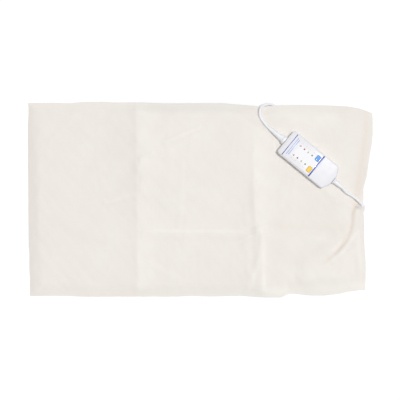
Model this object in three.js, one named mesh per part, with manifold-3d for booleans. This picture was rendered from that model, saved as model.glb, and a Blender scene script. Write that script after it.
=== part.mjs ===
// Heating pad with a hand controller: a cloth cover, a heater inside it, two leads and a plug.
// Millimetres, +Z up. The origin is on the table, under the middle of the cover.
// +X runs along the cover to its open end, and +Y across it to the edge where the mains lead leaves.
import * as THREE from 'three';
import { mergeVertices } from 'three/addons/utils/BufferGeometryUtils.js';
import Module from 'manifold-3d';

const wasm = await Module();
wasm.setup();

// Clearance between pieces that touch
const seatGap = 0.3;
const cutOverrun = 1;

// Cover, a flat bag of two cloth panels with some room round the heater
const coverClosedRoom = 17.5;
const coverOpenRoom = 63.5;
const coverSideRoom = 18.5;
const coverCloth = 1.2;
const hemGap = 0.4;
const rowStep = 23.75;

// Outline of the cover: place along the edge, then how far in it is drawn, as shares of the sizes here.
// The top and right edges keep their notches where the leads cross them.
const topWaveRun = 691;
const topDrawIn = 23;
const topDropShares = [
  [0, 0.174], [0.123, 0.043], [0.17, 0], [0.24, 0], [0.297, 0.043], [0.572, 0.087],
  [0.658, 0.391], [0.679, 0.478], [0.702, 0.391], [0.789, 0.261], [0.919, 0.391],
  [0.957, 0.564], [0.991, 0.912], [1, 1],
];
const topNotchShare = 0.675;
const bottomDrawIn = 16.5;
const bottomRiseShares = [
  [0, 0.243], [0.3, 0.119], [0.6, 0.06], [0.68, 0], [0.745, 0], [0.774, 0.486],
  [0.803, 0.243], [0.977, 0.969], [1, 1],
];
const leftDrawIn = 6;
const leftInsetShares = [[0, 0.828], [0.5, 1], [0.95, 0.667], [1, 0]];
const sideWaveRun = 393;
const rightDrawIn = 26;
const rightInsetShares = [
  [0, 0.617], [0.142, 0.54], [0.295, 0.691], [0.41, 0.731], [0.452, 1], [0.513, 0.963],
  [0.55, 0.769], [0.702, 0.386], [0.845, 0], [0.9, 0], [0.94, 0.077], [1, 0.077],
];
const sideNotchShare = 0.455;
const stripLineShares = [0.25, 0.5];
const endSqueezeShare = 0.07;

// Heater, a welded envelope round foam, carrier cloth and wire
const heaterLength = 610;
const heaterWidth = 356;
const envelopeSheet = 0.6;
const foamThickness = 2.6;
const carrierCloth = 0.8;
const wireDiameter = 1.6;
const wireEndInset = 32;
const cutoutLength = 15;
const cutoutWidth = 6.5;
const cutoutThickness = 3.6;
const cutoutSpreadShare = 0.32;
const cutoutRow = 4;

// Cords
const cordDiameter = 6;
const cordSides = 8;
const cordStepDiameters = 2.4;

// Mains lead's spare length, a two-layer coil under the pad
const coilFromController = 201.6;
const coilOuterRadius = 50;
const coilTurns = 10;
const turnGap = 0.6;
const climbTurns = 0.5;
const loopSteps = 24;
const tubeSides = 6;
const coilMargin = 3;
const coilSetback = 4;

// Plug, a flat two-blade one
const plugLength = 32;
const plugWidth = 24;
const plugThickness = 12.4;
const plugTailLength = 12;
const plugTailWidth = 9;
const plugAisle = 36;
const bladeSpacing = 12.7;
const bladeLength = 17;
const bladeThickness = 1.5;
const liveBladeWidth = 6.35;
const neutralBladeWidth = 7.9;
const bladeHoleDiameter = 3;

// How the pad rises over the coil and over the lead at its edge
const slopeRun = 57;
const crossingLiftShare = 0.72;
const hemLiftShare = 0.4;
const liftClearance = 0.5;

// Controller housing
const controllerFromEnd = 127.9;
const cornerFromTop = 57.66;
const controllerTurn = THREE.MathUtils.degToRad(50.7);
const housingWidth = 56;
const housingHeight = 22;
const housingWall = 2.2;
const partingHeight = 10;
const endCornerRadius = 6;
const edgeRadius = 3;
const slopeLength = 42;
const taperLength = 12;
const taperEndWidth = 22;
const taperEndTop = 17.5;
const taperEndBottom = 2.5;
const taperShares = [[0, 0], [0.3, 0.08], [0.62, 0.45], [1, 1]];

// Overlay, keys and lights
const overlayLength = 78;
const overlayWidth = 50;
const overlaySheet = 0.5;
const overlayMargin = 4;
const overlayCorner = 2.5;
const recessDepth = 0.7;
const keyWidth = 11.6;
const keyLength = 8.6;
const keyCorner = 1.8;
const keyProud = 1.2;
const keyBevel = 0.5;
const keySpacing = 27.8;
const keyFromOverlayEnd = 9.7;
const keyClearance = 0.35;
const keyFlange = 1;
const keyFlangeThickness = 1.2;
const keyTravel = 0.8;
const stemDiameter = 4;
const ledDiameter = 3;
const ledFlange = 0.25;
const ledFlangeThickness = 0.8;
const ledBodyLength = 5.6;
const ledProud = 0.4;
const ledSpacing = 22.2;
const ledFromEnd = 30;
const ledToKey = 12.69;
const ledsPerColumn = 4;
const ledLegSpacing = 1.6;
const ledLegThickness = 0.5;

// Circuit board and what stands on it
const boardTailRoom = 18;
const boardWidth = 34;
const boardThickness = 1.6;
const boardFromEnd = 6;
const standoffDiameter = 4;
const standoffSpacing = 24;
const switchSide = 6;
const switchHeight = 3.5;
const plungerDiameter = 3.2;
const plungerLength = 2.6;
const plungerClearance = 0.3;
const fuseDiameter = 5.2;
const fuseLength = 18;
const filmCapLength = 17;
const filmCapWidth = 8;
const filmCapHeight = 8;
const canCapDiameter = 6.4;
const canCapHeight = 8;
const chipLength = 18;
const chipWidth = 10;
const chipHeight = 2.4;
const triacWidth = 10;
const triacLength = 9;
const triacHeight = 4.5;
const triacTabLength = 6;
const triacTabThickness = 1.3;
const conductorDiameter = 1.6;
const mainsConductorSpacing = 4.4;
const padConductorSpacing = 2.4;
const conductorReach = 7;

// Screws
const screwSpacing = 42.4;
const screwRowFromEnd = 12;
const screwTailRoom = 20;
const bossDiameter = 7.8;
const topBossDiameter = 6.6;
const counterboreDiameter = 5.8;
const counterboreDepth = 4;
const screwHeadDiameter = 5;
const screwHeadHeight = 1.7;
const screwShaftDiameter = 2.4;
const screwShaftLength = 11;
const pilotDepth = 6;

// Strain reliefs: a flange inside the wall, a neck through it, a collar and a ribbed sleeve outside
const mainsRelief = {
  flangeRadius: 6.2, flange: 2, neckRadius: 5.2, collarRadius: 9, collar: 6,
  sleeve: 34, rootRadius: 6.6, tipRadius: 3.9, ribs: 5,
};
const padRelief = {
  flangeRadius: 5, flange: 2, neckRadius: 3.8, collarRadius: 7.4, collar: 3,
  sleeve: 15, rootRadius: 4.9, tipRadius: 3.8, ribs: 3,
};
const ribDepth = 0.5;

// Block where the pad lead enters the heater
const entryLength = 26;
const entryWidth = 17;
const entryHeight = 6.8;
const entryCorner = 3;
const entryFromEnd = 33.4;
const entryFromBottom = 49.7;

// Routes of the free leads, chosen by hand: x and y from the cover's top right corner, z from the table.
// Each begins at its strain relief and ends at the coil or the heater.
const mainsRoute = [
  [-207.3, -53.6, 20.7], [-218.9, -41.5, 23], [-225.1, -31.5, 24.4], [-226.7, -21, 24.5],
  [-224.5, -13.5, 22.4], [-219.1, -8.3, 17], [-210, -5.5, 9.8], [-201, -6.3, 5],
  [-194, -11.3, 3.5], [-193.1, -19, 3.3], [-199.9, -25.9, 3.3], [-211.5, -28.3, 3.3],
  [-317.2, -28.5, 3.1],
];
const padRoute = [
  [-65.5, -169.7, 20.7], [-54.4, -180.9, 18.4], [-41.8, -188.6, 15], [-32.6, -195.3, 13.2],
  [-25.7, -201.7, 12.2], [-20.5, -207.5, 9.8], [-18.5, -214.1, 6.8], [-21.7, -220.7, 4.9],
  [-27.2, -227.5, 4.6], [-30.9, -241, 4.6], [-35.3, -257.5, 4.7], [-42.3, -273.5, 5.2],
  [-51.3, -287.5, 8.2], [-62.3, -299.7, 12.3], [-74, -310, 12.5], [-96.9, -324.8, 12.5],
];
// From the end of the coil to the plug
const plugRoute = [[0, 0, 9.7], [-42, -3, 8.6], [-59, -11.5, 7.2], [-71, -27.7, 6.3]];
const mainsCrossing = 4;
const padCrossing = 6;
const padInside = 9;

// Soft creases and wrinkles of the front panel: from, to, height and reach
const creaseHeight = 1.7;
const creaseReach = 26;
const wrinkleHeight = 1.4;
const wrinkleReach = 22;
const creaseShares = [
  [[0.345, 0.03], [0.345, 0.97]], [[0.681, 0.03], [0.681, 0.5]], [[0.345, 0.332], [0.85, 0.332]],
];
const wrinkleShares = [
  [[0.39, 0.78], [0.5, 0.9]], [[0.42, 0.72], [0.47, 0.8]], [[0.36, 0.06], [0.44, 0.12]],
  [[0.83, 0.93], [0.92, 0.94]], [[0.86, 0.14], [0.95, 0.05]],
];
const leadFadeRun = 19;

// Places that follow from the sizes
const cordRadius = cordDiameter / 2;
const coverLength = heaterLength + coverClosedRoom + coverOpenRoom;
const coverWidth = heaterWidth + 2 * coverSideRoom;
const coverRight = coverLength / 2;
const coverTop = coverWidth / 2;
const heaterLeft = coverClosedRoom - coverRight;
const heaterRight = heaterLeft + heaterLength;
const heaterTop = heaterWidth / 2;
const slopeStart = overlayMargin + overlayLength;
const housingLength = slopeStart + slopeLength;
const halfLength = housingLength / 2;
const cornerRise = halfLength * Math.cos(controllerTurn) + housingWidth / 2 * Math.sin(controllerTurn);
const controllerX = coverRight - controllerFromEnd;
const controllerY = coverTop - cornerFromTop - cornerRise;
const coilX = controllerX - coilFromController;
const coilReach = coilOuterRadius + cordRadius + coilMargin;
const coilY = heaterTop - coilReach - coilSetback;
const coilLow = cordRadius + seatGap / 3;
const coilPitch = cordDiameter + turnGap;
const coilHigh = coilLow + coilPitch;
const liftHeight = coilHigh + cordRadius + liftClearance;
const plateauWest = coilX - coilReach - plugAisle;
const plateauEast = coilX + coilReach;
const plateauSouth = coilY - coilReach;
const stack = {};
stack.envelopeBack = coverCloth + seatGap;
stack.foam = stack.envelopeBack + envelopeSheet + seatGap;
stack.carrier = stack.foam + foamThickness + seatGap;
stack.wire = stack.carrier + carrierCloth + seatGap;
stack.envelopeFront = stack.wire + wireDiameter + seatGap;
stack.coverFront = stack.envelopeFront + envelopeSheet + seatGap;
const padTop = stack.coverFront + coverCloth;

const colours = {
  cloth: [0xf1ebe2, 0.95, 0], vinyl: [0xe9e6dd, 0.55, 0], foam: [0xf3efdf, 0.95, 0],
  carrier: [0xe6e6e6, 0.9, 0], wire: [0xd9a066, 0.5, 0], cutout: [0x4a4a4a, 0.5, 0],
  shell: [0xf4f4f8, 0.35, 0], overlay: [0xfbfbfe, 0.2, 0], yellow: [0xffd23c, 0.4, 0],
  blue: [0x4a96f0, 0.4, 0], cord: [0xf6f6f8, 0.45, 0], board: [0x2f7a46, 0.5, 0],
  black: [0x202022, 0.5, 0], steel: [0xb8bcc2, 0.35, 0.9], brass: [0xc8a455, 0.3, 0.9],
  red: [0xc0282c, 0.3, 0], amber: [0xd9a13a, 0.3, 0], green: [0x2f8a45, 0.3, 0],
  film: [0x2c5fb0, 0.5, 0], can: [0x34363c, 0.35, 0], fuse: [0xd8dcd8, 0.2, 0],
  button: [0x303034, 0.6, 0],
};

function material(name) {
  const [color, roughness, metalness] = colours[name];
  return new THREE.MeshStandardMaterial({ color, roughness, metalness });
}

// Merge shared corners, drop flat triangles and turn the faces outward.
function closed(geometry) {
  const bare = geometry.index ? geometry.clone() : mergeVertices(geometry);
  bare.deleteAttribute('normal');
  bare.deleteAttribute('uv');
  const merged = mergeVertices(bare);
  const index = merged.index.array;
  const kept = [];
  for (let t = 0; t < index.length; t += 3) {
    const [a, b, c] = [index[t], index[t + 1], index[t + 2]];
    if (a !== b && b !== c && c !== a) kept.push(a, b, c);
  }
  merged.setIndex(signedVolume(merged, kept) < 0 ? kept.reverse() : kept);
  merged.computeVertexNormals();
  return merged;
}

function signedVolume(geometry, index) {
  const corners = geometry.getAttribute('position');
  const [a, b, c] = [new THREE.Vector3(), new THREE.Vector3(), new THREE.Vector3()];
  let sum = 0;
  for (let t = 0; t < index.length; t += 3) {
    a.fromBufferAttribute(corners, index[t]);
    b.fromBufferAttribute(corners, index[t + 1]);
    c.fromBufferAttribute(corners, index[t + 2]);
    sum += a.dot(b.cross(c));
  }
  return sum;
}

function toSolid(geometry) {
  const mesh = closed(geometry);
  return new wasm.Manifold(new wasm.Mesh({
    numProp: 3,
    vertProperties: new Float32Array(mesh.getAttribute('position').array),
    triVerts: new Uint32Array(mesh.index.array),
  }));
}

function toGeometry(solid) {
  const mesh = solid.getMesh();
  const geometry = new THREE.BufferGeometry();
  geometry.setAttribute('position', new THREE.BufferAttribute(mesh.vertProperties, 3));
  geometry.setIndex(new THREE.BufferAttribute(mesh.triVerts, 1));
  geometry.computeVertexNormals();
  return geometry;
}

function cut(geometry, tools) {
  return toGeometry(tools.reduce((solid, tool) => solid.subtract(toSolid(tool)), toSolid(geometry)));
}

function join(geometries) {
  return toGeometry(geometries.map(toSolid).reduce((solid, next) => solid.add(next)));
}

function addPiece(parent, name, geometry, colour) {
  const mesh = new THREE.Mesh(closed(geometry), material(colour));
  mesh.name = name;
  parent.add(mesh);
  return mesh;
}

// A box on its base, with its centre at x and y.
function box(width, depth, height, x, y, base) {
  return new THREE.BoxGeometry(width, depth, height).translate(x, y, base + height / 2);
}

function post(radius, height, x, y, base, sides = 12) {
  const geometry = new THREE.CylinderGeometry(radius, radius, height, sides);
  return geometry.rotateX(Math.PI / 2).translate(x, y, base + height / 2);
}

// A bar along Y from near to far.
function bar(radius, near, far, x, z, sides = 8) {
  const geometry = new THREE.CylinderGeometry(radius, radius, far - near, sides);
  return geometry.translate(x, (near + far) / 2, z);
}

function lookUp(table, share) {
  const last = table.length - 1;
  const at = Math.min(Math.max(share, table[0][0]), table[last][0]);
  const next = Math.max(1, table.findIndex(([place]) => place >= at));
  const [[x0, y0], [x1, y1]] = [table[next - 1], table[next]];
  return y0 + (y1 - y0) * (at - x0) / (x1 - x0);
}

function spread(from, to, count) {
  return Array.from({ length: count + 1 }, (_, k) => from + (to - from) * k / count);
}

// The points of a route between its ends. What an end has moved by is shared out up to the crossing.
function routed(route, corner, crossing, start, end) {
  const points = route.map(([x, y, z]) => new THREE.Vector3(corner.x + x, corner.y + y, z));
  const last = points.length - 1;
  const shifts = [start, end].map((place, k) => place.clone().sub(points[k * last]).setZ(0));
  return points.map((point, k) => (k < crossing
    ? point.clone().addScaledVector(shifts[0], 1 - k / crossing)
    : point.clone().addScaledVector(shifts[1], (k - crossing) / (last - crossing))));
}

// Controller frame and the ends of its leads
const controller = new THREE.Group();
controller.position.set(controllerX, controllerY, padTop + seatGap);
controller.rotation.z = controllerTurn;
controller.updateMatrixWorld();
const reliefLength = (relief) => relief.collar + relief.sleeve + seatGap;

function leadStart(end, relief, distance) {
  const y = end * (halfLength + reliefLength(relief) + seatGap + distance);
  return new THREE.Vector3(0, y, partingHeight).applyMatrix4(controller.matrixWorld);
}

const corner = new THREE.Vector3(coverRight, coverTop, 0);
const coilStart = new THREE.Vector3(coilX, coilY + coilOuterRadius, coilLow);
const coilEnd = coilStart.clone().setZ(coilHigh);
const east = new THREE.Vector3(1, 0, 0);
const north = new THREE.Vector3(0, 1, 0);
const mainsLeadEnd = coilStart.clone().addScaledVector(east, cordDiameter + seatGap);
const mainsRun = routed(
  mainsRoute, corner, mainsCrossing, leadStart(1, mainsRelief, 0),
  mainsLeadEnd.clone().addScaledVector(east, cordDiameter),
).slice(1);
const entryPlace = new THREE.Vector3(heaterRight - entryFromEnd, entryFromBottom - heaterTop, 0);
const padRun = routed(padRoute, corner, padCrossing, leadStart(-1, padRelief, 0), entryPlace).slice(1);

// Soft layers share one grid. Its coarse lines carry the lift over the coil, and the covers halve them.
const crossingWest = mainsRun[mainsCrossing - 1].x + cordRadius;
const crossingEast = Math.max(...mainsRun.map((point) => point.x)) + 2 * cordDiameter;
const coarseX = [
  ...spread(heaterLeft, plateauWest - slopeRun, 3), plateauWest, (plateauWest + plateauEast) / 2,
  plateauEast, crossingWest, ...spread(crossingEast, heaterRight, 3),
];
const slopeFoot = plateauSouth - slopeRun;
const flatRows = spread(slopeFoot - 3 * rowStep, slopeFoot, 3);
const coarseY = [
  ...spread(-heaterTop, flatRows[0], 2).slice(0, -1), ...flatRows,
  plateauSouth, (plateauSouth + heaterTop) / 2, heaterTop,
];

function lineLift(x, y) {
  if (x >= plateauWest && x <= plateauEast && y >= plateauSouth) return liftHeight;
  if (x >= crossingWest && x <= crossingEast && y >= heaterTop) return liftHeight * crossingLiftShare;
  return 0;
}

function cellOf(lines, value) {
  const next = lines.findIndex((line) => line > value);
  return next < 0 ? lines.length - 2 : Math.max(0, next - 1);
}

// Height of the table side of the pad, on triangles that join the coarse lines.
function liftAt(x, y) {
  const px = Math.min(Math.max(x, heaterLeft), heaterRight);
  const py = Math.min(Math.max(y, -heaterTop), heaterTop);
  const [i, j] = [cellOf(coarseX, px), cellOf(coarseY, py)];
  const [x0, x1, y0, y1] = [coarseX[i], coarseX[i + 1], coarseY[j], coarseY[j + 1]];
  const s = (px - x0) / (x1 - x0);
  const t = (py - y0) / (y1 - y0);
  const [low, high] = [lineLift(x0, y0), lineLift(x1, y1)];
  const side = s > t ? lineLift(x1, y0) : lineLift(x0, y1);
  return s > t ? low + s * (side - low) + t * (high - side) : low + t * (side - low) + s * (high - side);
}

// A closed sheet between two heights over a grid of nodes.
function slab(nodes, lower, upper) {
  const [nx, ny] = [nodes.length, nodes[0].length];
  const positions = [];
  for (const height of [lower, upper]) {
    for (let i = 0; i < nx; i++) {
      for (let j = 0; j < ny; j++) positions.push(nodes[i][j][0], nodes[i][j][1], height(i, j));
    }
  }
  const low = (i, j) => i * ny + j;
  const high = (i, j) => nx * ny + i * ny + j;
  const index = [];
  for (let i = 0; i + 1 < nx; i++) {
    for (let j = 0; j + 1 < ny; j++) {
      index.push(high(i, j), high(i + 1, j), high(i + 1, j + 1), high(i, j), high(i + 1, j + 1), high(i, j + 1));
      index.push(low(i, j), low(i + 1, j + 1), low(i + 1, j), low(i, j), low(i, j + 1), low(i + 1, j + 1));
    }
  }
  const rim = [];
  for (let i = 0; i + 1 < nx; i++) rim.push([i, 0]);
  for (let j = 0; j + 1 < ny; j++) rim.push([nx - 1, j]);
  for (let i = nx - 1; i > 0; i--) rim.push([i, ny - 1]);
  for (let j = ny - 1; j > 0; j--) rim.push([0, j]);
  rim.forEach(([i, j], k) => {
    const [p, q] = rim[(k + 1) % rim.length];
    index.push(low(i, j), low(p, q), high(p, q), low(i, j), high(p, q), high(i, j));
  });
  const geometry = new THREE.BufferGeometry();
  geometry.setAttribute('position', new THREE.Float32BufferAttribute(positions, 3));
  geometry.setIndex(index);
  return geometry;
}

// Cover panels: inner lines are straight, and the outline bends round them.
const halved = (lines, longest) => lines.flatMap((line, k) => {
  const next = lines[k + 1];
  return k + 1 < lines.length && next - line > longest ? [line, (line + next) / 2] : [line];
});
const splitOver = 30;
const fineX = halved(coarseX, 0);
const fineY = halved(coarseY, splitOver);
const stripWidth = coverRight - heaterRight;
const coverX = [...fineX, ...stripLineShares.map((share) => heaterRight + share * stripWidth)];
const lastColumn = coverX.length + 1;
const lastRow = fineY.length + 1;

const lengthShare = (x) => (x + coverRight) / coverLength;
const widthShare = (y) => (y + coverTop) / coverWidth;
const topShare = (x) => topNotchShare + (x - mainsRun[mainsCrossing - 1].x) / topWaveRun;
const sideShare = (y) => sideNotchShare + (y - padRun[padCrossing - 1].y) / sideWaveRun;
const topEdge = (x) => coverTop - topDrawIn * lookUp(topDropShares, topShare(x));
const bottomEdge = (x) => bottomDrawIn * lookUp(bottomRiseShares, lengthShare(x)) - coverTop;
const leftEdge = (y) => leftDrawIn * lookUp(leftInsetShares, widthShare(y)) - coverRight;
const rightEdge = (y) => coverRight - rightDrawIn * lookUp(rightInsetShares, sideShare(y));

function coverNode(i, j) {
  const atLeft = i === 0;
  const atRight = i === lastColumn;
  const cornerX = atLeft ? -coverRight : coverRight;
  const x = atLeft || atRight ? cornerX : coverX[i - 1];
  if (j === 0 || j === lastRow) {
    const y = j === 0 ? bottomEdge(x) : topEdge(x);
    const edge = j === 0 ? -coverTop : coverTop;
    if (atLeft) return [leftEdge(edge), y];
    return [atRight ? rightEdge(edge) : x, y];
  }
  const squeeze = Math.max(0, Math.min(x, coverRight) - heaterRight) / stripWidth;
  const y = fineY[j - 1] * (1 - endSqueezeShare * squeeze);
  if (atLeft) return [leftEdge(y), y];
  return [atRight ? rightEdge(y) : x, y];
}

const coverNodes = spread(0, lastColumn, lastColumn).map(
  (i) => spread(0, lastRow, lastRow).map((j) => coverNode(i, j)),
);

function hemShare(x) {
  const share = (x - plateauEast) / (crossingWest - plateauEast);
  return hemLiftShare + (1 - hemLiftShare) * Math.min(Math.max(share, 0), 1);
}

function coverLift(i, j) {
  const [x, y] = coverNodes[i][j];
  return j === lastRow ? liftAt(x, heaterTop) * hemShare(x) : liftAt(x, y);
}

// Where the pad lead goes into the heater
const entryEnd = padRun.at(-1);
const entryHeading = entryEnd.clone().sub(padRun.at(-2)).setZ(0).normalize();
const padLeadPoints = [
  leadStart(-1, padRelief, 0), leadStart(-1, padRelief, cordDiameter), ...padRun.slice(0, -1),
  entryEnd.clone().addScaledVector(entryHeading, -cordDiameter), entryEnd,
];
const entryCentre = entryEnd.clone().addScaledVector(entryHeading, seatGap + entryLength / 2);

// The front panel also rises over the part of the pad lead that runs inside the cover.
const longest = (lines) => Math.max(...lines.slice(1).map((line, k) => line - lines[k]));
const leadReach = (Math.hypot(longest(fineX), longest(fineY)) + entryWidth) / 2;
const entryFar = entryCentre.clone().addScaledVector(entryHeading, entryLength / 2);
const coveredPoints = [...padRun.slice(padInside - 1), entryCentre, entryFar];
const coveredSamples = coveredPoints.slice(1).flatMap((point, k) => spread(0, 1, 4).map(
  (share) => coveredPoints[k].clone().lerp(point, share),
));

function ridge(x, y, [[ax, ay], [bx, by]], height, reach) {
  const start = new THREE.Vector2((ax - 0.5) * coverLength, (ay - 0.5) * coverWidth);
  const along = new THREE.Vector2((bx - 0.5) * coverLength, (by - 0.5) * coverWidth).sub(start);
  const here = new THREE.Vector2(x, y).sub(start);
  const share = Math.min(Math.max(here.dot(along) / along.lengthSq(), 0), 1);
  const distance = here.sub(along.multiplyScalar(share)).length();
  return height * Math.max(0, 1 - distance / reach);
}

function wrinkles(x, y) {
  const creases = creaseShares.map((line) => ridge(x, y, line, creaseHeight, creaseReach));
  const soft = wrinkleShares.map((line) => ridge(x, y, line, wrinkleHeight, wrinkleReach));
  return Math.max(0, ...creases, ...soft);
}

function frontLow(i, j) {
  const [x, y] = coverNodes[i][j];
  const onEdge = i === 0 || j === 0 || i === lastColumn || j === lastRow;
  const stripShare = Math.max(0, (x - heaterRight) / (rightEdge(y) - heaterRight));
  const edgeLevel = coverCloth + hemGap;
  const inner = stack.coverFront + (edgeLevel - stack.coverFront) * Math.min(stripShare, 1);
  const level = onEdge ? edgeLevel : inner + wrinkles(x, y);
  let needed = level;
  for (const point of coveredSamples) {
    const distance = Math.hypot(point.x - x, point.y - y);
    const fall = Math.min(1, Math.max(0, 1 - (distance - leadReach) / leadFadeRun));
    const over = point.z + cordRadius + 2 * seatGap - level;
    needed = Math.max(needed, level + over * fall);
  }
  return coverLift(i, j) + needed;
}

const pad = new THREE.Group();
addPiece(pad, 'cover_back', slab(coverNodes, coverLift, (i, j) => coverLift(i, j) + coverCloth), 'cloth');
addPiece(pad, 'cover_front', slab(coverNodes, frontLow, (i, j) => frontLow(i, j) + coverCloth), 'cloth');

// Heater layers
const heaterNodes = coarseX.map((x) => coarseY.map((y) => [x, y]));

function heaterLayer(level, thickness) {
  const height = (i, j) => liftAt(...heaterNodes[i][j]) + level;
  return slab(heaterNodes, height, (i, j) => height(i, j) + thickness);
}

const cutoutBase = stack.wire + wireDiameter - cutoutThickness;
const wireRows = fineY.slice(1, -1);
const cutoutY = (wireRows[cutoutRow] + wireRows[cutoutRow + 1]) / 2;
const cutoutPlaces = {
  left: heaterLeft + heaterLength * cutoutSpreadShare,
  right: heaterRight - heaterLength * cutoutSpreadShare / 2,
};
const pocket = (x) => box(
  cutoutLength + 2 * seatGap, cutoutWidth + 2 * seatGap, cutoutThickness + cutOverrun,
  x, cutoutY, cutoutBase - seatGap,
);
const pockets = Object.values(cutoutPlaces).map(pocket);
addPiece(pad, 'heater_envelope_back', heaterLayer(stack.envelopeBack, envelopeSheet), 'vinyl');
addPiece(pad, 'foam_layer', cut(heaterLayer(stack.foam, foamThickness), pockets), 'foam');
addPiece(pad, 'element_carrier', cut(heaterLayer(stack.carrier, carrierCloth), pockets), 'carrier');
addPiece(pad, 'heater_envelope_front', heaterLayer(stack.envelopeFront, envelopeSheet), 'vinyl');
for (const [side, x] of Object.entries(cutoutPlaces)) {
  const body = box(cutoutLength, cutoutWidth, cutoutThickness, x, cutoutY, cutoutBase);
  addPiece(pad, `thermal_cutout_${side}`, body, 'cutout');
}

// One unbroken tube of few sides through a list of points, its section kept upright
function tubeThrough(points, radius, sides) {
  const positions = [];
  points.forEach((point, k) => {
    const ahead = points[Math.min(k + 1, points.length - 1)];
    const behind = points[Math.max(k - 1, 0)];
    const heading = ahead.clone().sub(behind).normalize();
    const across = heading.clone().cross(new THREE.Vector3(0, 0, 1)).normalize();
    const upright = across.clone().cross(heading);
    for (let s = 0; s < sides; s++) {
      const angle = 2 * Math.PI * (s + 0.5) / sides;
      const corner = point.clone().addScaledVector(across, radius * Math.cos(angle));
      positions.push(...corner.addScaledVector(upright, radius * Math.sin(angle)));
    }
  });
  const index = [];
  for (let k = 0; k + 1 < points.length; k++) {
    for (let s = 0; s < sides; s++) {
      const [a, b] = [k * sides + s, k * sides + (s + 1) % sides];
      index.push(a, b, b + sides, a, b + sides, a + sides);
    }
  }
  const end = (points.length - 1) * sides;
  for (let s = 1; s + 1 < sides; s++) index.push(0, s + 1, s, end, end + s, end + s + 1);
  const geometry = new THREE.BufferGeometry();
  geometry.setAttribute('position', new THREE.Float32BufferAttribute(positions, 3));
  geometry.setIndex(index);
  return geometry;
}

// Heating wire: runs along the fine rows, joined by half circles, with points only where it bends
const wireColumns = fineX.filter((x) => x > heaterLeft + wireEndInset && x < heaterRight - wireEndInset);
const wireHeight = stack.wire + wireDiameter / 2;
const turnSteps = 4;
const onWire = (x, y) => new THREE.Vector3(x, y, liftAt(x, y) + wireHeight);
const wireEnds = [heaterLeft + wireEndInset, heaterRight - wireEndInset];
const wirePoints = [];
wireRows.forEach((y, row) => {
  const forward = row % 2 === 0;
  const stops = [wireEnds[0], ...wireColumns, wireEnds[1]];
  (forward ? stops : stops.reverse()).forEach((x) => wirePoints.push(onWire(x, y)));
  if (row + 1 === wireRows.length) return;
  const radius = (wireRows[row + 1] - y) / 2;
  for (let k = 1; k < turnSteps; k++) {
    const angle = Math.PI * k / turnSteps;
    const reach = radius * Math.sin(angle) * (forward ? 1 : -1);
    wirePoints.push(onWire(wireEnds[forward ? 1 : 0] + reach, y + radius * (1 - Math.cos(angle))));
  }
});
const straightness = 1e-6;
const bends = wirePoints.filter((point, k) => {
  if (k === 0 || k + 1 === wirePoints.length) return true;
  const before = point.clone().sub(wirePoints[k - 1]).normalize();
  return before.cross(wirePoints[k + 1].clone().sub(point).normalize()).length() > straightness;
});
const wireSides = 4;
addPiece(pad, 'heating_wire', tubeThrough(bends, wireDiameter / 2, wireSides), 'wire');

// Free leads: a round section drawn along a curve through the route
function lead(points) {
  const curve = new THREE.CatmullRomCurve3(points, false, 'centripetal');
  const section = new THREE.Shape(
    new THREE.EllipseCurve(0, 0, cordRadius, cordRadius).getPoints(cordSides).slice(0, -1),
  );
  const steps = Math.round(curve.getLength() / (cordStepDiameters * cordDiameter));
  return new THREE.ExtrudeGeometry(section, { steps, extrudePath: curve, bevelEnabled: false });
}

const mainsLeadPoints = [
  leadStart(1, mainsRelief, 0), leadStart(1, mainsRelief, cordDiameter), ...mainsRun, mainsLeadEnd,
];
addPiece(pad, 'pad_lead', lead(padLeadPoints), 'cord');
addPiece(pad, 'mains_lead', lead(mainsLeadPoints), 'cord');

// Coil: in on the lower layer, out on the upper one, climbing where the spiral turns back
function coilPoint(turn) {
  const inward = Math.min(turn, coilTurns - turn);
  const radius = coilOuterRadius - coilPitch * inward;
  const angle = Math.PI / 2 + 2 * Math.PI * turn;
  const climb = Math.min(Math.max((turn - coilTurns / 2) / climbTurns + 0.5, 0), 1);
  const height = coilLow + (coilHigh - coilLow) * climb;
  return new THREE.Vector3(coilX + radius * Math.cos(angle), coilY + radius * Math.sin(angle), height);
}

const coilLoops = spread(0, coilTurns, coilTurns * loopSteps).map(coilPoint);
coilLoops[0] = coilStart;
coilLoops[coilLoops.length - 1] = coilEnd;
const coilPoints = [
  coilStart.clone().addScaledVector(east, cordDiameter), ...coilLoops,
  coilEnd.clone().addScaledVector(east, -cordDiameter),
];

function leastGap(points, diameter, apart) {
  let least = Infinity;
  points.forEach((point, k) => {
    for (let m = k + apart; m < points.length; m++) least = Math.min(least, point.distanceTo(points[m]));
  });
  return least - diameter;
}

const coilLength = coilPoints.slice(1).reduce((sum, point, k) => sum + point.distanceTo(coilPoints[k]), 0);
const selfGap = leastGap(coilPoints, cordDiameter, loopSteps / 2);
console.log(`coil: ${coilLength.toFixed(0)} mm of cord, least gap to itself ${selfGap.toFixed(2)} mm`);
addPiece(pad, 'mains_lead_coil', tubeThrough(coilPoints, cordRadius, tubeSides), 'cord');

// A closed body through rings that lie along Y, each a rounded rectangle
const cornerSteps = 3;

function roundedRing(halfWidth, low, high, radius) {
  const r = Math.min(radius, halfWidth, (high - low) / 2);
  const centres = [
    [halfWidth - r, high - r], [r - halfWidth, high - r], [r - halfWidth, low + r], [halfWidth - r, low + r],
  ];
  return centres.flatMap(([x, z], quarter) => spread(0, 1, cornerSteps).map((share) => {
    const angle = (quarter + share) * Math.PI / 2;
    return [x + r * Math.cos(angle), z + r * Math.sin(angle)];
  }));
}

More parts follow.
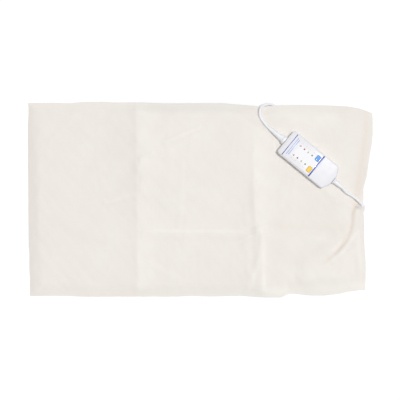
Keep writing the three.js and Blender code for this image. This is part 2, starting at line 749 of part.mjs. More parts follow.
function loft(stations) {
  const positions = stations.flatMap(({ y, ring }) => ring.flatMap(([x, z]) => [x, y, z]));
  const sides = stations[0].ring.length;
  const index = [];
  for (let k = 0; k + 1 < stations.length; k++) {
    for (let s = 0; s < sides; s++) {
      const [a, b] = [k * sides + s, k * sides + (s + 1) % sides];
      index.push(a, b, b + sides, a, b + sides, a + sides);
    }
  }
  const end = (stations.length - 1) * sides;
  for (let s = 1; s + 1 < sides; s++) index.push(0, s + 1, s, end, end + s, end + s + 1);
  const geometry = new THREE.BufferGeometry();
  geometry.setAttribute('position', new THREE.Float32BufferAttribute(positions, 3));
  geometry.setIndex(index);
  return geometry;
}

// Plug beside the coil: a tail for the cord, then a body that widens to the flat front
const plugX = plateauWest + plugAisle / 2 + cordRadius;
const plugRear = coilY + plugLength / 2 + cordDiameter;
const plugFront = plugRear - plugTailLength - plugLength;
const plugZ = plugThickness / 2 + seatGap / 3;
const plugStationShares = [[0, 0.2], [0.3, 0.85], [0.55, 1], [1, 1]];
const plugCorner = 4;
const plugStation = (y, width, thickness) => ({
  y, ring: roundedRing(width / 2, plugZ - thickness / 2, plugZ + thickness / 2, plugCorner),
});
const plugBodyRear = plugRear - plugTailLength;
const plugStations = [
  plugStation(plugRear, cordDiameter + 2 * ribDepth, cordDiameter + 2 * ribDepth),
  plugStation(plugBodyRear, plugTailWidth, plugTailWidth),
  ...plugStationShares.map(([along, full]) => plugStation(
    plugBodyRear - seatGap - along * (plugLength - seatGap),
    plugTailWidth + (plugWidth - plugTailWidth) * full,
    plugTailWidth + (plugThickness - plugTailWidth) * full,
  )),
];
addPiece(pad, 'plug_body', loft(plugStations), 'cord');
const plugEntry = new THREE.Vector3(plugX, plugRear + seatGap, plugZ);
const plugLeadPoints = [
  coilEnd.clone().addScaledVector(east, -cordDiameter - seatGap),
  coilEnd.clone().addScaledVector(east, -2 * cordDiameter - seatGap),
  ...routed(plugRoute, coilEnd, 0, coilEnd, plugEntry).slice(1, -1),
  plugEntry.clone().addScaledVector(north, cordDiameter), plugEntry,
];
addPiece(pad, 'plug_lead', lead(plugLeadPoints), 'cord');
pad.getObjectByName('plug_body').geometry.translate(plugX, 0, 0);

function blade(width) {
  const tip = width / 4;
  const outline = new THREE.Shape([
    [-width / 2, 0], [width / 2, 0], [width / 2, bladeLength - tip], [width / 2 - tip, bladeLength],
    [tip - width / 2, bladeLength], [-width / 2, bladeLength - tip],
  ].map(([x, y]) => new THREE.Vector2(x, y)));
  const hole = new THREE.EllipseCurve(0, bladeLength - tip - bladeHoleDiameter, bladeHoleDiameter / 2);
  outline.holes.push(new THREE.Path(hole.getPoints(cordSides).slice(0, -1)));
  const geometry = new THREE.ExtrudeGeometry(outline, { depth: bladeThickness, bevelEnabled: false });
  return geometry.translate(0, 0, -bladeThickness / 2).rotateY(Math.PI / 2).rotateX(Math.PI);
}

const bladeWidths = { live: liveBladeWidth, neutral: neutralBladeWidth };
Object.entries(bladeWidths).forEach(([name, width], k) => {
  const x = plugX + (k - 0.5) * bladeSpacing;
  addPiece(pad, `plug_blade_${name}`, blade(width).translate(x, plugFront - seatGap, plugZ), 'brass');
});

// Block at the heater, a rounded brick turned to the lead's heading
function roundedPlate(width, length, height, corner) {
  const [w, l] = [width / 2, length / 2];
  const plate = new THREE.Shape();
  plate.moveTo(w - corner, -l).absarc(w - corner, corner - l, corner, -Math.PI / 2, 0);
  plate.absarc(w - corner, l - corner, corner, 0, Math.PI / 2);
  plate.absarc(corner - w, l - corner, corner, Math.PI / 2, Math.PI);
  plate.absarc(corner - w, corner - l, corner, Math.PI, 1.5 * Math.PI);
  return new THREE.ExtrudeGeometry(plate, { depth: height, bevelEnabled: false, curveSegments: cornerSteps });
}

const entryBase = stack.envelopeFront + envelopeSheet + seatGap;
const entryBlock = addPiece(
  pad, 'lead_entry_block', roundedPlate(entryWidth, entryLength, entryHeight, entryCorner), 'cord',
);
entryBlock.position.set(entryCentre.x, entryCentre.y, entryBase);
entryBlock.rotation.z = Math.atan2(entryHeading.y, entryHeading.x) - Math.PI / 2;

// Controller housing: its outer and inner forms are lofted along its length
function housingForm(inset) {
  const [half, top] = [housingWidth / 2 - inset, housingHeight - inset];
  const [corner, edge] = [endCornerRadius, Math.max(edgeRadius - inset / 2, inset / 2)];
  const end = halfLength - inset;
  const station = (y, width, low, high) => ({ y, ring: roundedRing(width, low, high, edge) });
  const rounded = spread(0, 1, cornerSteps).map((share) => {
    const angle = share * Math.PI / 2;
    const [back, in2, easing] = [1 - Math.cos(angle), 1 - Math.sin(angle), edgeRadius / 2];
    const drop = easing * in2;
    return station(end - corner * back, half - corner * in2, inset + drop, top - drop);
  });
  const taperStart = taperLength - halfLength;
  const topAt = (y) => {
    const share = Math.max(0, (halfLength - slopeStart - y) / (housingLength - slopeStart));
    return top - (housingHeight - taperEndTop) * share;
  };
  const taper = taperShares.map(([along, drop]) => {
    const y = taperStart - along * (taperLength - inset);
    const width = half - (housingWidth - taperEndWidth) / 2 * drop;
    return station(y, width, inset + taperEndBottom * along, topAt(y));
  });
  return loft([
    ...rounded, station(halfLength - slopeStart, half, inset, top), ...taper,
  ]);
}

const screwRowPitch = housingLength - screwRowFromEnd - screwTailRoom;
const bossPlaces = [-1, 1].flatMap((side) => [0, 1].map(
  (row) => [side * screwSpacing / 2, halfLength - screwRowFromEnd - row * screwRowPitch],
));
const big = 2 * housingLength;
const below = box(big, big, housingHeight, 0, 0, partingHeight - seatGap / 2 - housingHeight);
const above = box(big, big, housingHeight, 0, 0, partingHeight + seatGap / 2);
const innerTop = housingHeight - housingWall;
const boardTop = partingHeight - seatGap / 2;
const boardBase = boardTop - boardThickness;
const boardLength = housingLength - boardFromEnd - boardTailRoom;
const boardMiddle = halfLength - boardFromEnd - boardLength / 2;
const hole = (relief, end) => bar(
  relief.neckRadius + seatGap, end * halfLength - housingWall - cutOverrun,
  end * halfLength + housingWall + cutOverrun, 0, partingHeight, 12,
);
const cordHoles = [hole(mainsRelief, 1), hole(padRelief, -1)];
const outerForm = toSolid(housingForm(0));
const shellForm = outerForm.subtract(toSolid(housingForm(housingWall)));

const standoffPlaces = [-1, 1].flatMap((side) => [-1, 1].map(
  (end) => [side * standoffSpacing / 2, boardMiddle + end * (boardLength / 2 - standoffDiameter * 2)],
));
const bottomBosses = bossPlaces.map(([x, y]) => post(
  bossDiameter / 2, partingHeight - seatGap / 2 - housingWall / 2, x, y, housingWall / 2,
));
const standoffs = standoffPlaces.map(([x, y]) => post(
  standoffDiameter / 2, boardBase - seatGap - housingWall / 2, x, y, housingWall / 2, 8,
));
const screwHoles = bossPlaces.flatMap(([x, y]) => [
  post(counterboreDiameter / 2, counterboreDepth + cutOverrun, x, y, -cutOverrun),
  post(screwShaftDiameter / 2 + seatGap, partingHeight, x, y, counterboreDepth - cutOverrun, 8),
]);
const bottomShell = [...bottomBosses, ...standoffs].reduce(
  (solid, tool) => solid.add(toSolid(tool)), shellForm.intersect(toSolid(below)),
).intersect(outerForm);
const housingBottom = [...screwHoles, ...cordHoles].reduce(
  (solid, tool) => solid.subtract(toSolid(tool)), bottomShell,
);
addPiece(controller, 'housing_bottom', toGeometry(housingBottom), 'shell');

// Places on the top face
const overlayY = halfLength - overlayMargin - overlayLength / 2;
const overlayBase = housingHeight - recessDepth + seatGap;
const overlayTop = overlayBase + overlaySheet;
const keyFromEnd = slopeStart - keyFromOverlayEnd;
const keyY = halfLength - keyFromEnd;
const ledPitch = (keyFromEnd - ledToKey - ledFromEnd) / (ledsPerColumn - 1);
const keys = { yellow: -keySpacing / 2, blue: keySpacing / 2 };
const ledSides = { left: -ledSpacing / 2, right: ledSpacing / 2 };
const ledPlaces = Object.entries(ledSides).flatMap(([side, x]) => spread(1, ledsPerColumn, ledsPerColumn - 1).map(
  (n) => ({ name: `led_${side}_${n}`, n, x, y: halfLength - ledFromEnd - (n - 1) * ledPitch }),
));
const faceHoles = (base) => [
  ...Object.values(keys).map((x) => roundedPlate(
    keyWidth + 2 * keyClearance, keyLength + 2 * keyClearance, housingHeight, keyCorner,
  ).translate(x, keyY, base)),
  ...ledPlaces.map(({ x, y }) => post(ledDiameter / 2 + seatGap, housingHeight, x, y, base, 8)),
];
const recess = roundedPlate(
  overlayWidth + 2 * seatGap, overlayLength + 2 * seatGap, housingHeight, overlayCorner,
).translate(0, overlayY, housingHeight - recessDepth);
const topBosses = bossPlaces.map(([x, y]) => post(
  topBossDiameter / 2, innerTop + housingWall / 2 - partingHeight - seatGap / 2, x, y, partingHeight + seatGap / 2,
));
const pilots = bossPlaces.map(([x, y]) => post(
  screwShaftDiameter / 2 + seatGap, pilotDepth + cutOverrun, x, y, partingHeight - cutOverrun, 8,
));
const topShell = topBosses.reduce(
  (solid, tool) => solid.add(toSolid(tool)), shellForm.intersect(toSolid(above)),
).intersect(outerForm);
const housingTop = [...pilots, ...cordHoles, recess, ...faceHoles(partingHeight + housingWall)].reduce(
  (solid, tool) => solid.subtract(toSolid(tool)), topShell,
);
addPiece(controller, 'housing_top', toGeometry(housingTop), 'shell');
const overlaySolid = roundedPlate(overlayWidth, overlayLength, overlaySheet, overlayCorner);
addPiece(
  controller, 'keypad_overlay',
  cut(overlaySolid.translate(0, overlayY, overlayBase), faceHoles(partingHeight)), 'overlay',
);

// Keys: a cap with a small bevel, a flange that keeps it in, and a stem down to the switch
const switchTop = boardTop + seatGap + switchHeight;
const plungerTop = switchTop + keyTravel;
const plungerBase = plungerTop - plungerLength;
const flangeTop = innerTop - seatGap;
const flangeBase = flangeTop - keyFlangeThickness;
const capTop = housingHeight + keyProud;

function keyGeometry() {
  const plate = (grow, base, top) => roundedPlate(
    keyWidth + 2 * grow, keyLength + 2 * grow, top - base, keyCorner,
  ).translate(0, 0, base);
  const stemBase = plungerTop + seatGap;
  return join([
    plate(0, flangeBase, capTop - keyBevel), plate(-keyBevel, capTop - 2 * keyBevel, capTop),
    plate(keyFlange, flangeBase, flangeTop),
    post(stemDiameter / 2, flangeTop - stemBase, 0, 0, stemBase),
  ]);
}

for (const [name, x] of Object.entries(keys)) {
  addPiece(controller, `key_${name}`, keyGeometry().translate(x, keyY, 0), name);
  const well = post(
    plungerDiameter / 2 + plungerClearance, switchHeight, x, keyY, plungerBase - keyTravel - plungerClearance,
  );
  const body = box(switchSide, switchSide, switchHeight, x, keyY, boardTop + seatGap);
  addPiece(controller, `key_switch_${name}`, cut(body, [well]), 'black');
  const plunger = post(plungerDiameter / 2, plungerLength, x, keyY, plungerBase);
  addPiece(controller, `switch_plunger_${name}`, plunger, 'button');
}

// Indicator lights on their legs
const ledTop = overlayTop + ledProud;
const ledBase = ledTop - ledBodyLength;

function ledGeometry() {
  const [r, wide] = [ledDiameter / 2, ledDiameter / 2 + ledFlange];
  const shoulder = ledTop - r / 2;
  const profile = [
    [0, ledBase], [wide, ledBase], [wide, ledBase + ledFlangeThickness], [r, ledBase + ledFlangeThickness],
    [r, shoulder], [r * Math.SQRT1_2, ledTop - r / 6], [0, ledTop],
  ].map(([x, y]) => new THREE.Vector2(x, y));
  const body = new THREE.LatheGeometry(profile, 8).rotateX(Math.PI / 2);
  const legs = [-1, 1].map((side) => box(
    ledLegThickness, ledLegThickness, ledBase - boardTop - seatGap + ledFlangeThickness / 2,
    side * ledLegSpacing / 2, 0, boardTop + seatGap,
  ));
  return join([body, ...legs]);
}

const ledColours = ['red', 'red', 'amber', 'green'];
for (const { name, n, x, y } of ledPlaces) {
  addPiece(controller, name, ledGeometry().translate(x, y, 0), ledColours[n - 1]);
}

// Circuit board and its parts
addPiece(controller, 'circuit_board', box(boardWidth, boardLength, boardThickness, 0, boardMiddle, boardBase), 'board');
const onBoard = boardTop + seatGap;
const boardFar = boardMiddle + boardLength / 2;
const boardNear = boardMiddle - boardLength / 2;
const fuseY = boardFar - fuseLength / 2 - standoffDiameter;
const fuseX = screwSpacing / 4;
addPiece(
  controller, 'fuse',
  bar(fuseDiameter / 2, fuseY - fuseLength / 2, fuseY + fuseLength / 2, -fuseX, onBoard + fuseDiameter / 2), 'fuse',
);
addPiece(controller, 'dropper_capacitor', box(filmCapWidth, filmCapLength, filmCapHeight, fuseX, fuseY, onBoard), 'film');
const canY = halfLength - ledFromEnd - ledPitch / 2;
addPiece(controller, 'smoothing_capacitor', post(canCapDiameter / 2, canCapHeight, 0, canY, onBoard), 'can');
const chipY = canY - canCapDiameter / 2 - chipLength / 2 - standoffDiameter;
addPiece(controller, 'microcontroller', box(chipWidth, chipLength, chipHeight, 0, chipY, onBoard), 'black');
const triacY = keyY - keyLength - triacLength / 2;
const triacBody = box(triacWidth, triacLength, triacHeight, 0, triacY, onBoard);
const triacTab = box(
  triacWidth, triacTabLength + triacLength / 2, triacTabThickness,
  0, triacY - (triacTabLength + triacLength / 2) / 2, onBoard,
);
addPiece(controller, 'triac', join([triacBody, triacTab]), 'black');

// Strain reliefs, turned about the lead
function reliefGeometry(relief) {
  const wallSpan = housingWall + 2 * seatGap;
  const points = [[0, -relief.flange], [relief.flangeRadius, -relief.flange], [relief.flangeRadius, 0]];
  points.push([relief.neckRadius, 0], [relief.neckRadius, wallSpan], [relief.collarRadius, wallSpan]);
  const sleeveStart = wallSpan + relief.collar;
  points.push([relief.collarRadius, sleeveStart]);
  for (let rib = 0; rib < relief.ribs; rib++) {
    const [from, to] = [rib / relief.ribs, (rib + 0.6) / relief.ribs];
    const radiusAt = (share) => relief.rootRadius + (relief.tipRadius - relief.rootRadius) * share;
    points.push([radiusAt(from), sleeveStart + relief.sleeve * from]);
    points.push([radiusAt(to), sleeveStart + relief.sleeve * to]);
    points.push([radiusAt(to) - ribDepth, sleeveStart + relief.sleeve * to]);
    points.push([radiusAt(to) - ribDepth, sleeveStart + relief.sleeve * (rib + 1) / relief.ribs]);
  }
  points.push([0, sleeveStart + relief.sleeve]);
  return new THREE.LatheGeometry(points.map(([x, y]) => new THREE.Vector2(x, y)), 12);
}

const innerFace = halfLength - housingWall - seatGap;
const mainsGland = addPiece(controller, 'strain_relief_mains', reliefGeometry(mainsRelief), 'cord');
mainsGland.position.set(0, innerFace, partingHeight);
const padGland = addPiece(controller, 'strain_relief_pad', reliefGeometry(padRelief), 'cord');
padGland.position.set(0, -innerFace, partingHeight);
padGland.rotation.z = Math.PI;

// Insulated conductors from the reliefs onto the board
const conductorHeight = onBoard + conductorDiameter / 2;

function addConductors(names, spacing, near, far) {
  names.forEach((name, k) => {
    const x = (k - (names.length - 1) / 2) * spacing;
    addPiece(controller, name, bar(conductorDiameter / 2, near, far, x, conductorHeight, tubeSides), 'button');
  });
}

const mainsEnd = innerFace - mainsRelief.flange - seatGap;
const padEnd = innerFace - padRelief.flange - seatGap;
addConductors(
  ['mains_conductor_live', 'mains_conductor_neutral'], mainsConductorSpacing,
  boardFar - conductorReach, mainsEnd,
);
addConductors(
  ['heater_conductor_1', 'sensor_conductor_1', 'sensor_conductor_2', 'heater_conductor_2'],
  padConductorSpacing, -padEnd, boardNear + conductorReach,
);

// Four alike screws, driven from below
const screwBase = counterboreDepth - seatGap - screwHeadHeight;
bossPlaces.forEach(([x, y], k) => addPiece(controller, `case_screw_${k + 1}`, join([
  post(screwHeadDiameter / 2, screwHeadHeight, x, y, screwBase),
  post(screwShaftDiameter / 2, screwShaftLength + screwHeadHeight / 2, x, y, screwBase + screwHeadHeight / 2, 8),
]), 'steel'));

const model = new THREE.Group();
model.add(pad, controller);

export default model;
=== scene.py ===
# Heating pad with a hand controller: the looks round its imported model, in metres.
import math
import bmesh
import bpy
import numpy as np
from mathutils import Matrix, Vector
from mathutils.bvhtree import BVHTree


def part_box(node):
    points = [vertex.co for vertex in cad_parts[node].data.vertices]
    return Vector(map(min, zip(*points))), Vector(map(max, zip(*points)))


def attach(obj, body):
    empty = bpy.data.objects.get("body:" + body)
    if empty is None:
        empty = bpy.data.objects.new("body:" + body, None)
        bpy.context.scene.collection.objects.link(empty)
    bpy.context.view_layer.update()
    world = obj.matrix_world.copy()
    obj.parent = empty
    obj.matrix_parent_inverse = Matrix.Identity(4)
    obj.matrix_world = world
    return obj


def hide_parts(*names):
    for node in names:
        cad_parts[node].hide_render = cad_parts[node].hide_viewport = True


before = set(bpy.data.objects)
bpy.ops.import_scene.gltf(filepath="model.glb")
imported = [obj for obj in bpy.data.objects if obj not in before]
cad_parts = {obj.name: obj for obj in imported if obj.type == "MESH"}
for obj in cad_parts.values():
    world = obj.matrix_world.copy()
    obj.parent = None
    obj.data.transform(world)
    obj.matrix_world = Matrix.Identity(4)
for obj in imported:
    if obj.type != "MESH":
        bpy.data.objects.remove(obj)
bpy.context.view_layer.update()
scene = bpy.context.scene
scene.view_settings.view_transform = "Standard"
mm = 0.001
rootBody = "pad_and_controller"

# Camera: straight down from far off, with a square frame 800 mm wide at the level of the pad
camera = dict(centre=(-0.0005, -0.0005), height=5.0, level=0.010, span=0.800, sensor=36)
cameraData = bpy.data.cameras.new("photoCamera")
cameraData.sensor_width = camera["sensor"]
cameraData.lens = camera["sensor"] * (camera["height"] - camera["level"]) / camera["span"]
cameraObject = bpy.data.objects.new("photoCamera", cameraData)
cameraObject.location = (*camera["centre"], camera["height"])
scene.collection.objects.link(cameraObject)
scene.camera = cameraObject
print("camera done")


def link(obj):
    scene.collection.objects.link(obj)
    return obj


def meshPiece(name, points, faces, material=None):
    mesh = bpy.data.meshes.new(name)
    mesh.from_pydata([tuple(p) for p in points], [], [tuple(f) for f in faces])
    mesh.validate()
    mesh.polygons.foreach_set("use_smooth", [True] * len(mesh.polygons))
    if material:
        mesh.materials.append(material)
    return link(bpy.data.objects.new(name, mesh))


def outward(obj):
    shape = bmesh.new()
    shape.from_mesh(obj.data)
    bmesh.ops.remove_doubles(shape, verts=shape.verts, dist=1e-7)
    bmesh.ops.recalc_face_normals(shape, faces=shape.faces)
    shape.to_mesh(obj.data)
    shape.free()
    return obj


def baked(obj):
    # The object with its modifiers applied, as a plain mesh at the origin
    bpy.context.view_layer.update()
    graph = bpy.context.evaluated_depsgraph_get()
    mesh = bpy.data.meshes.new_from_object(obj.evaluated_get(graph), depsgraph=graph)
    obj.modifiers.clear()
    if obj.type == "MESH":
        old, obj.data = obj.data, mesh
        bpy.data.meshes.remove(old)
        mesh.name = obj.name
        return obj
    name = obj.name
    bpy.data.objects.remove(obj)
    mesh.name = name
    return link(bpy.data.objects.new(name, mesh))


def removed(*objs):
    for obj in objs:
        bpy.data.objects.remove(obj, do_unlink=True)


def smoothStep(t):
    t = np.clip(t, 0, 1)
    return t * t * (3 - 2 * t)


def follow(table, at):
    # A soft curve through a table of pairs, without overshoot
    places, values = np.array(table, float).T
    at = np.clip(at, places[0], places[-1])
    slopes = np.diff(values) / np.diff(places)
    before, after = slopes[:-1], slopes[1:]
    inner = np.where(after * before > 0, 2 * after * before / (after + before + 1e-12), 0)
    bends = np.concatenate([slopes[:1], inner, slopes[-1:]])
    k = np.clip(np.searchsorted(places, at) - 1, 0, len(places) - 2)
    run = places[k + 1] - places[k]
    t = (at - places[k]) / run
    return (
        values[k] * (2 * t**3 - 3 * t**2 + 1) + values[k + 1] * (3 * t**2 - 2 * t**3)
        + run * (bends[k] * (t**3 - 2 * t**2 + t) + bends[k + 1] * (t**3 - t**2))
    )


curveSteps = 24


def throughPoints(points, step):
    # A centripetal curve through the points, cut into even steps
    pts = np.array([tuple(p) for p in points], float)
    pts = np.vstack([2 * pts[0] - pts[1], pts, 2 * pts[-1] - pts[-2]])
    knots = np.concatenate([[0], np.cumsum(np.linalg.norm(np.diff(pts, axis=0), axis=1) ** 0.5)])

    def between(p, q, a, b, t):
        return p + (q - p) * ((t - a) / (b - a))[:, None]

    line = []
    for k in range(1, len(pts) - 2):
        t = np.linspace(knots[k], knots[k + 1], curveSteps, endpoint=False)
        t0, t1, t2, t3 = knots[k - 1:k + 3]
        first, second, third = (
            between(pts[k + i], pts[k + i + 1], knots[k + i], knots[k + i + 1], t) for i in (-1, 0, 1)
        )
        line.append(between(between(first, second, t0, t2, t), between(second, third, t1, t3, t), t1, t2, t))
    line = np.vstack([*line, pts[-2:-1]])
    along = np.concatenate([[0], np.cumsum(np.linalg.norm(np.diff(line, axis=0), axis=1))])
    even = np.linspace(0, along[-1], max(2, round(along[-1] / step)) + 1)
    return np.stack([np.interp(even, along, line[:, k]) for k in range(3)], axis=1)


def ringFaces(count, size):
    # The sides of a solid through rings of equally many points, and its two flat ends
    faces = []
    for k in range(count - 1):
        for s in range(size):
            a, b = k * size + s, k * size + (s + 1) % size
            faces.append((a, b, b + size, a + size))
    last = (count - 1) * size
    return faces, [tuple(range(size))[::-1], tuple(range(last, last + size))]


def tubeMesh(name, path, radius, sides, material):
    # A closed tube with its own map: turns round it in u, metres along it in v
    path = np.asarray(path, float)
    heads = np.gradient(path, axis=0)
    heads /= np.linalg.norm(heads, axis=1)[:, None]
    side = np.cross(heads[0], (0, 0, 1.0))
    side /= np.linalg.norm(side)
    turn = 2 * np.pi * np.arange(sides) / sides
    rings = []
    for p, h in zip(path, heads):
        side = side - h * side.dot(h)
        side /= np.linalg.norm(side)
        rings.append(p + radius * (np.outer(np.cos(turn), side) + np.outer(np.sin(turn), np.cross(h, side))))
    walls, ends = ringFaces(len(path), sides)
    obj = meshPiece(name, np.concatenate(rings), walls + ends, material)
    along = np.concatenate([[0], np.cumsum(np.linalg.norm(np.diff(path, axis=0), axis=1))])
    layer = obj.data.uv_layers.new(name="along")
    for face in obj.data.polygons:
        wraps = len(face.vertices) == 4 and {v % sides for v in face.vertices} == {0, sides - 1}
        for corner, v in zip(face.loop_indices, face.vertices):
            s = v % sides
            layer.data[corner].uv = ((sides if wraps and s == 0 else s) / sides, along[v // sides])
    return outward(obj)


# Stage: a plain white floor, an even sky and one lamp from above, a little to the right
stage = dict(
    floorSize=6.0, floorLevel=-0.0002, floorColour=(0.86, 0.86, 0.87), floorGlow=0.19,
    sky=0.43, skyTint=(1.0, 0.983, 0.955),
    keyStrength=1.84, keySoftness=0.17, keyFrom=(0.205, 0.070, 0.976), keyTint=(0.98, 1.0, 1.02),
)
white = (1, 1, 1, 1)


def addNode(tree, kind, values=None, **settings):
    node = tree.nodes.new(kind)
    for key, value in settings.items():
        setattr(node, key, value)
    for key, value in (values or {}).items():
        if isinstance(value, bpy.types.NodeSocket):
            tree.links.new(value, node.inputs[key])
        else:
            node.inputs[key].default_value = value
    return node


def math2(tree, operation, a, b=0.0):
    return addNode(tree, "ShaderNodeMath", {0: a, 1: b}, operation=operation).outputs[0]


def seenDirectly(tree):
    rays = addNode(tree, "ShaderNodeLightPath")
    both = math2(tree, "MAXIMUM", rays.outputs["Is Camera Ray"], rays.outputs["Is Glossy Ray"])
    return math2(tree, "MAXIMUM", both, rays.outputs["Is Transmission Ray"])


def emptyTree(owner):
    owner.use_nodes = True
    owner.node_tree.nodes.clear()
    return owner.node_tree


scene.world = bpy.data.worlds.new("studioSky")
skyTree = emptyTree(scene.world)
softSky = addNode(skyTree, "ShaderNodeBackground", {"Color": (*stage["skyTint"], 1), "Strength": stage["sky"]})
whiteSky = addNode(skyTree, "ShaderNodeBackground", {"Color": white, "Strength": 1.0})
skyMix = addNode(
    skyTree, "ShaderNodeMixShader", {0: seenDirectly(skyTree), 1: softSky.outputs[0], 2: whiteSky.outputs[0]},
)
addNode(skyTree, "ShaderNodeOutputWorld", {"Surface": skyMix.outputs[0]})

floorMaterial = bpy.data.materials.new("floorPaper")
floorTree = emptyTree(floorMaterial)
paper = addNode(floorTree, "ShaderNodeBsdfDiffuse", {"Color": (*stage["floorColour"], 1)})
glowLevel = math2(floorTree, "MULTIPLY", seenDirectly(floorTree), stage["floorGlow"])
glow = addNode(floorTree, "ShaderNodeEmission", {"Color": white, "Strength": glowLevel})
paperGlow = addNode(floorTree, "ShaderNodeAddShader", {0: paper.outputs[0], 1: glow.outputs[0]})
addNode(floorTree, "ShaderNodeOutputMaterial", {"Surface": paperGlow.outputs[0]})
reach = stage["floorSize"] / 2
corners = [(x * reach, y * reach, stage["floorLevel"]) for x, y in ((-1, -1), (1, -1), (1, 1), (-1, 1))]
floor = meshPiece("floor", corners, [(0, 1, 2, 3)], floorMaterial)

keyData = bpy.data.lights.new("keyLamp", "SUN")
keyData.energy, keyData.angle, keyData.color = stage["keyStrength"], stage["keySoftness"], stage["keyTint"]
keyLamp = link(bpy.data.objects.new("keyLamp", keyData))
keyLamp.rotation_mode = "QUATERNION"
keyLamp.rotation_quaternion = Vector(stage["keyFrom"]).to_track_quat("Z", "Y")
keyLamp.location = Vector(stage["keyFrom"]) * 2
print("stage done")


# Materials, with short names for the shader's sockets that stay constant
socketNames = {
    "coat": "Coat Weight", "sheen": "Sheen Weight", "sheenRoughness": "Sheen Roughness", "metal": "Metallic",
    "ior": "IOR",
}


def surface(name, colour, roughness, **constant):
    material = bpy.data.materials.new(name)
    material.use_nodes = True
    shader = material.node_tree.nodes["Principled BSDF"]
    shader.inputs["Base Color"].default_value = (*colour, 1)
    shader.inputs["Roughness"].default_value = roughness
    for key, value in constant.items():
        shader.inputs[socketNames[key]].default_value = value
    return material, material.node_tree, shader


def noiseOn(tree, scale, detail=3.0, stretch=(1, 1, 1), source="Object"):
    place = addNode(tree, "ShaderNodeTexCoord").outputs[source]
    moved = addNode(tree, "ShaderNodeMapping", {"Vector": place, "Scale": stretch}).outputs[0]
    return addNode(tree, "ShaderNodeTexNoise", {"Vector": moved, "Scale": scale, "Detail": detail}).outputs[0]


def fitted(tree, value, low, high, fromLow=0.3, fromHigh=0.7):
    return addNode(
        tree, "ShaderNodeMapRange",
        {"Value": value, "From Min": fromLow, "From Max": fromHigh, "To Min": low, "To Max": high},
    ).outputs[0]


def mixedColour(tree, factor, under, over):
    mixed = addNode(tree, "ShaderNodeMix", data_type="RGBA")
    for socket, value in ((0, factor), (6, under), (7, over)):
        if isinstance(value, tuple):
            mixed.inputs[socket].default_value = (*value, 1)
        else:
            tree.links.new(value, mixed.inputs[socket])
    return mixed.outputs[2]


def tinted(tree, shader, colour, factor, wear):
    # The colour, a little darker where the factor says
    dark = tuple(c * (1 - wear) for c in colour)
    tree.links.new(mixedColour(tree, factor, colour, dark), shader.inputs["Base Color"])


def bumped(tree, shader, height, strength, distance):
    bump = addNode(tree, "ShaderNodeBump", {"Height": height, "Strength": strength, "Distance": distance})
    tree.links.new(bump.outputs[0], shader.inputs["Normal"])


clothLook = dict(
    colour=(0.872, 0.832, 0.786), shade=(0.850, 0.804, 0.750),
    # The warmer darker colour is painted shade beside the lead's fold, the creases and the edges, and is laid along the
    # left seam; the lighter one after it is painted light where creases and seams face the lamp
    hem=(0.828, 0.752, 0.684), paintedLight=(0.925, 0.885, 0.835),
    threads=350.0, distortion=1.2, weaveShare=0.5, patch=16.0, patchTone=0.75,
    slubScale=260.0, slubThin=0.06, slubTone=0.25, slubRange=(0.5, 0.75),
    roughness=0.92, sheen=0.25, sheenRoughness=0.6, bump=0.35, depth=0.00012,
)


def wovenCloth(name, look):
    # Plain weave: crossed threads, a few thick ones, patches of tone, a warmer darker colour painted as shade beside
    # the lead's fold, the creases and the edges and laid along the left seam, and a lighter colour painted as light on
    # the lamp side of creases and along the seams
    sheen = {key: look[key] for key in ("sheen", "sheenRoughness")}
    material, tree, shader = surface(name, look["colour"], look["roughness"], **sheen)
    place = addNode(tree, "ShaderNodeTexCoord").outputs["Object"]
    waves = [
        addNode(
            tree, "ShaderNodeTexWave",
            {"Vector": place, "Scale": look["threads"], "Distortion": look["distortion"], "Detail": 1.0},
            wave_type="BANDS", bands_direction=direction,
        ).outputs["Fac"] for direction in ("X", "Y")
    ]
    weave = math2(tree, "MULTIPLY", math2(tree, "ADD", *waves), look["weaveShare"])
    slubs = math2(tree, "MAXIMUM", *(
        noiseOn(tree, look["slubScale"], 2.0, stretch)
        for stretch in ((1, look["slubThin"], 1), (look["slubThin"], 1, 1))
    ))
    height = math2(tree, "ADD", math2(tree, "MULTIPLY", weave, look["weaveShare"]), slubs)
    bumped(tree, shader, height, look["bump"], look["depth"])
    patches = fitted(tree, noiseOn(tree, look["patch"], 4.0), 0.0, look["patchTone"])
    tone = math2(tree, "ADD", patches, fitted(tree, slubs, 0.0, look["slubTone"], *look["slubRange"]))
    colour = mixedColour(tree, tone, look["colour"], look["shade"])
    # Painted light, and painted shade together with the darker left seam, laid into the cloth's colour by attributes of
    # the mesh
    for attribute in ("paintedLight", "hem"):
        share = addNode(tree, "ShaderNodeAttribute", attribute_name=attribute).outputs["Fac"]
        colour = mixedColour(tree, share, colour, look[attribute])
    tree.links.new(colour, shader.inputs["Base Color"])
    return material


mouldedLook = dict(toneScale=45.0, glossScale=120.0, glossSpread=0.05, bump=0.25)
jacketLook = dict(
    scuffScale=30.0, stretch=(6, 60, 1), scuffRange=(0.45, 0.75), wear=0.07, duller=0.15,
    grain=700.0, bump=0.15, depth=0.00003, ior=1.5,
)


def moulded(name, colour, roughness, grain=900.0, depth=0.00003, wear=0.04, **constant):
    # Moulded plastic: a fine grain, uneven gloss and a little change of tone
    look, spread = mouldedLook, mouldedLook["glossSpread"]
    material, tree, shader = surface(name, colour, roughness, **constant)
    tinted(tree, shader, colour, fitted(tree, noiseOn(tree, look["toneScale"]), 0.0, 1.0), wear)
    gloss = math2(tree, "ADD", fitted(tree, noiseOn(tree, look["glossScale"]), -spread, spread), roughness)
    tree.links.new(gloss, shader.inputs["Roughness"])
    bumped(tree, shader, noiseOn(tree, grain, 2.0), look["bump"], depth)
    return material


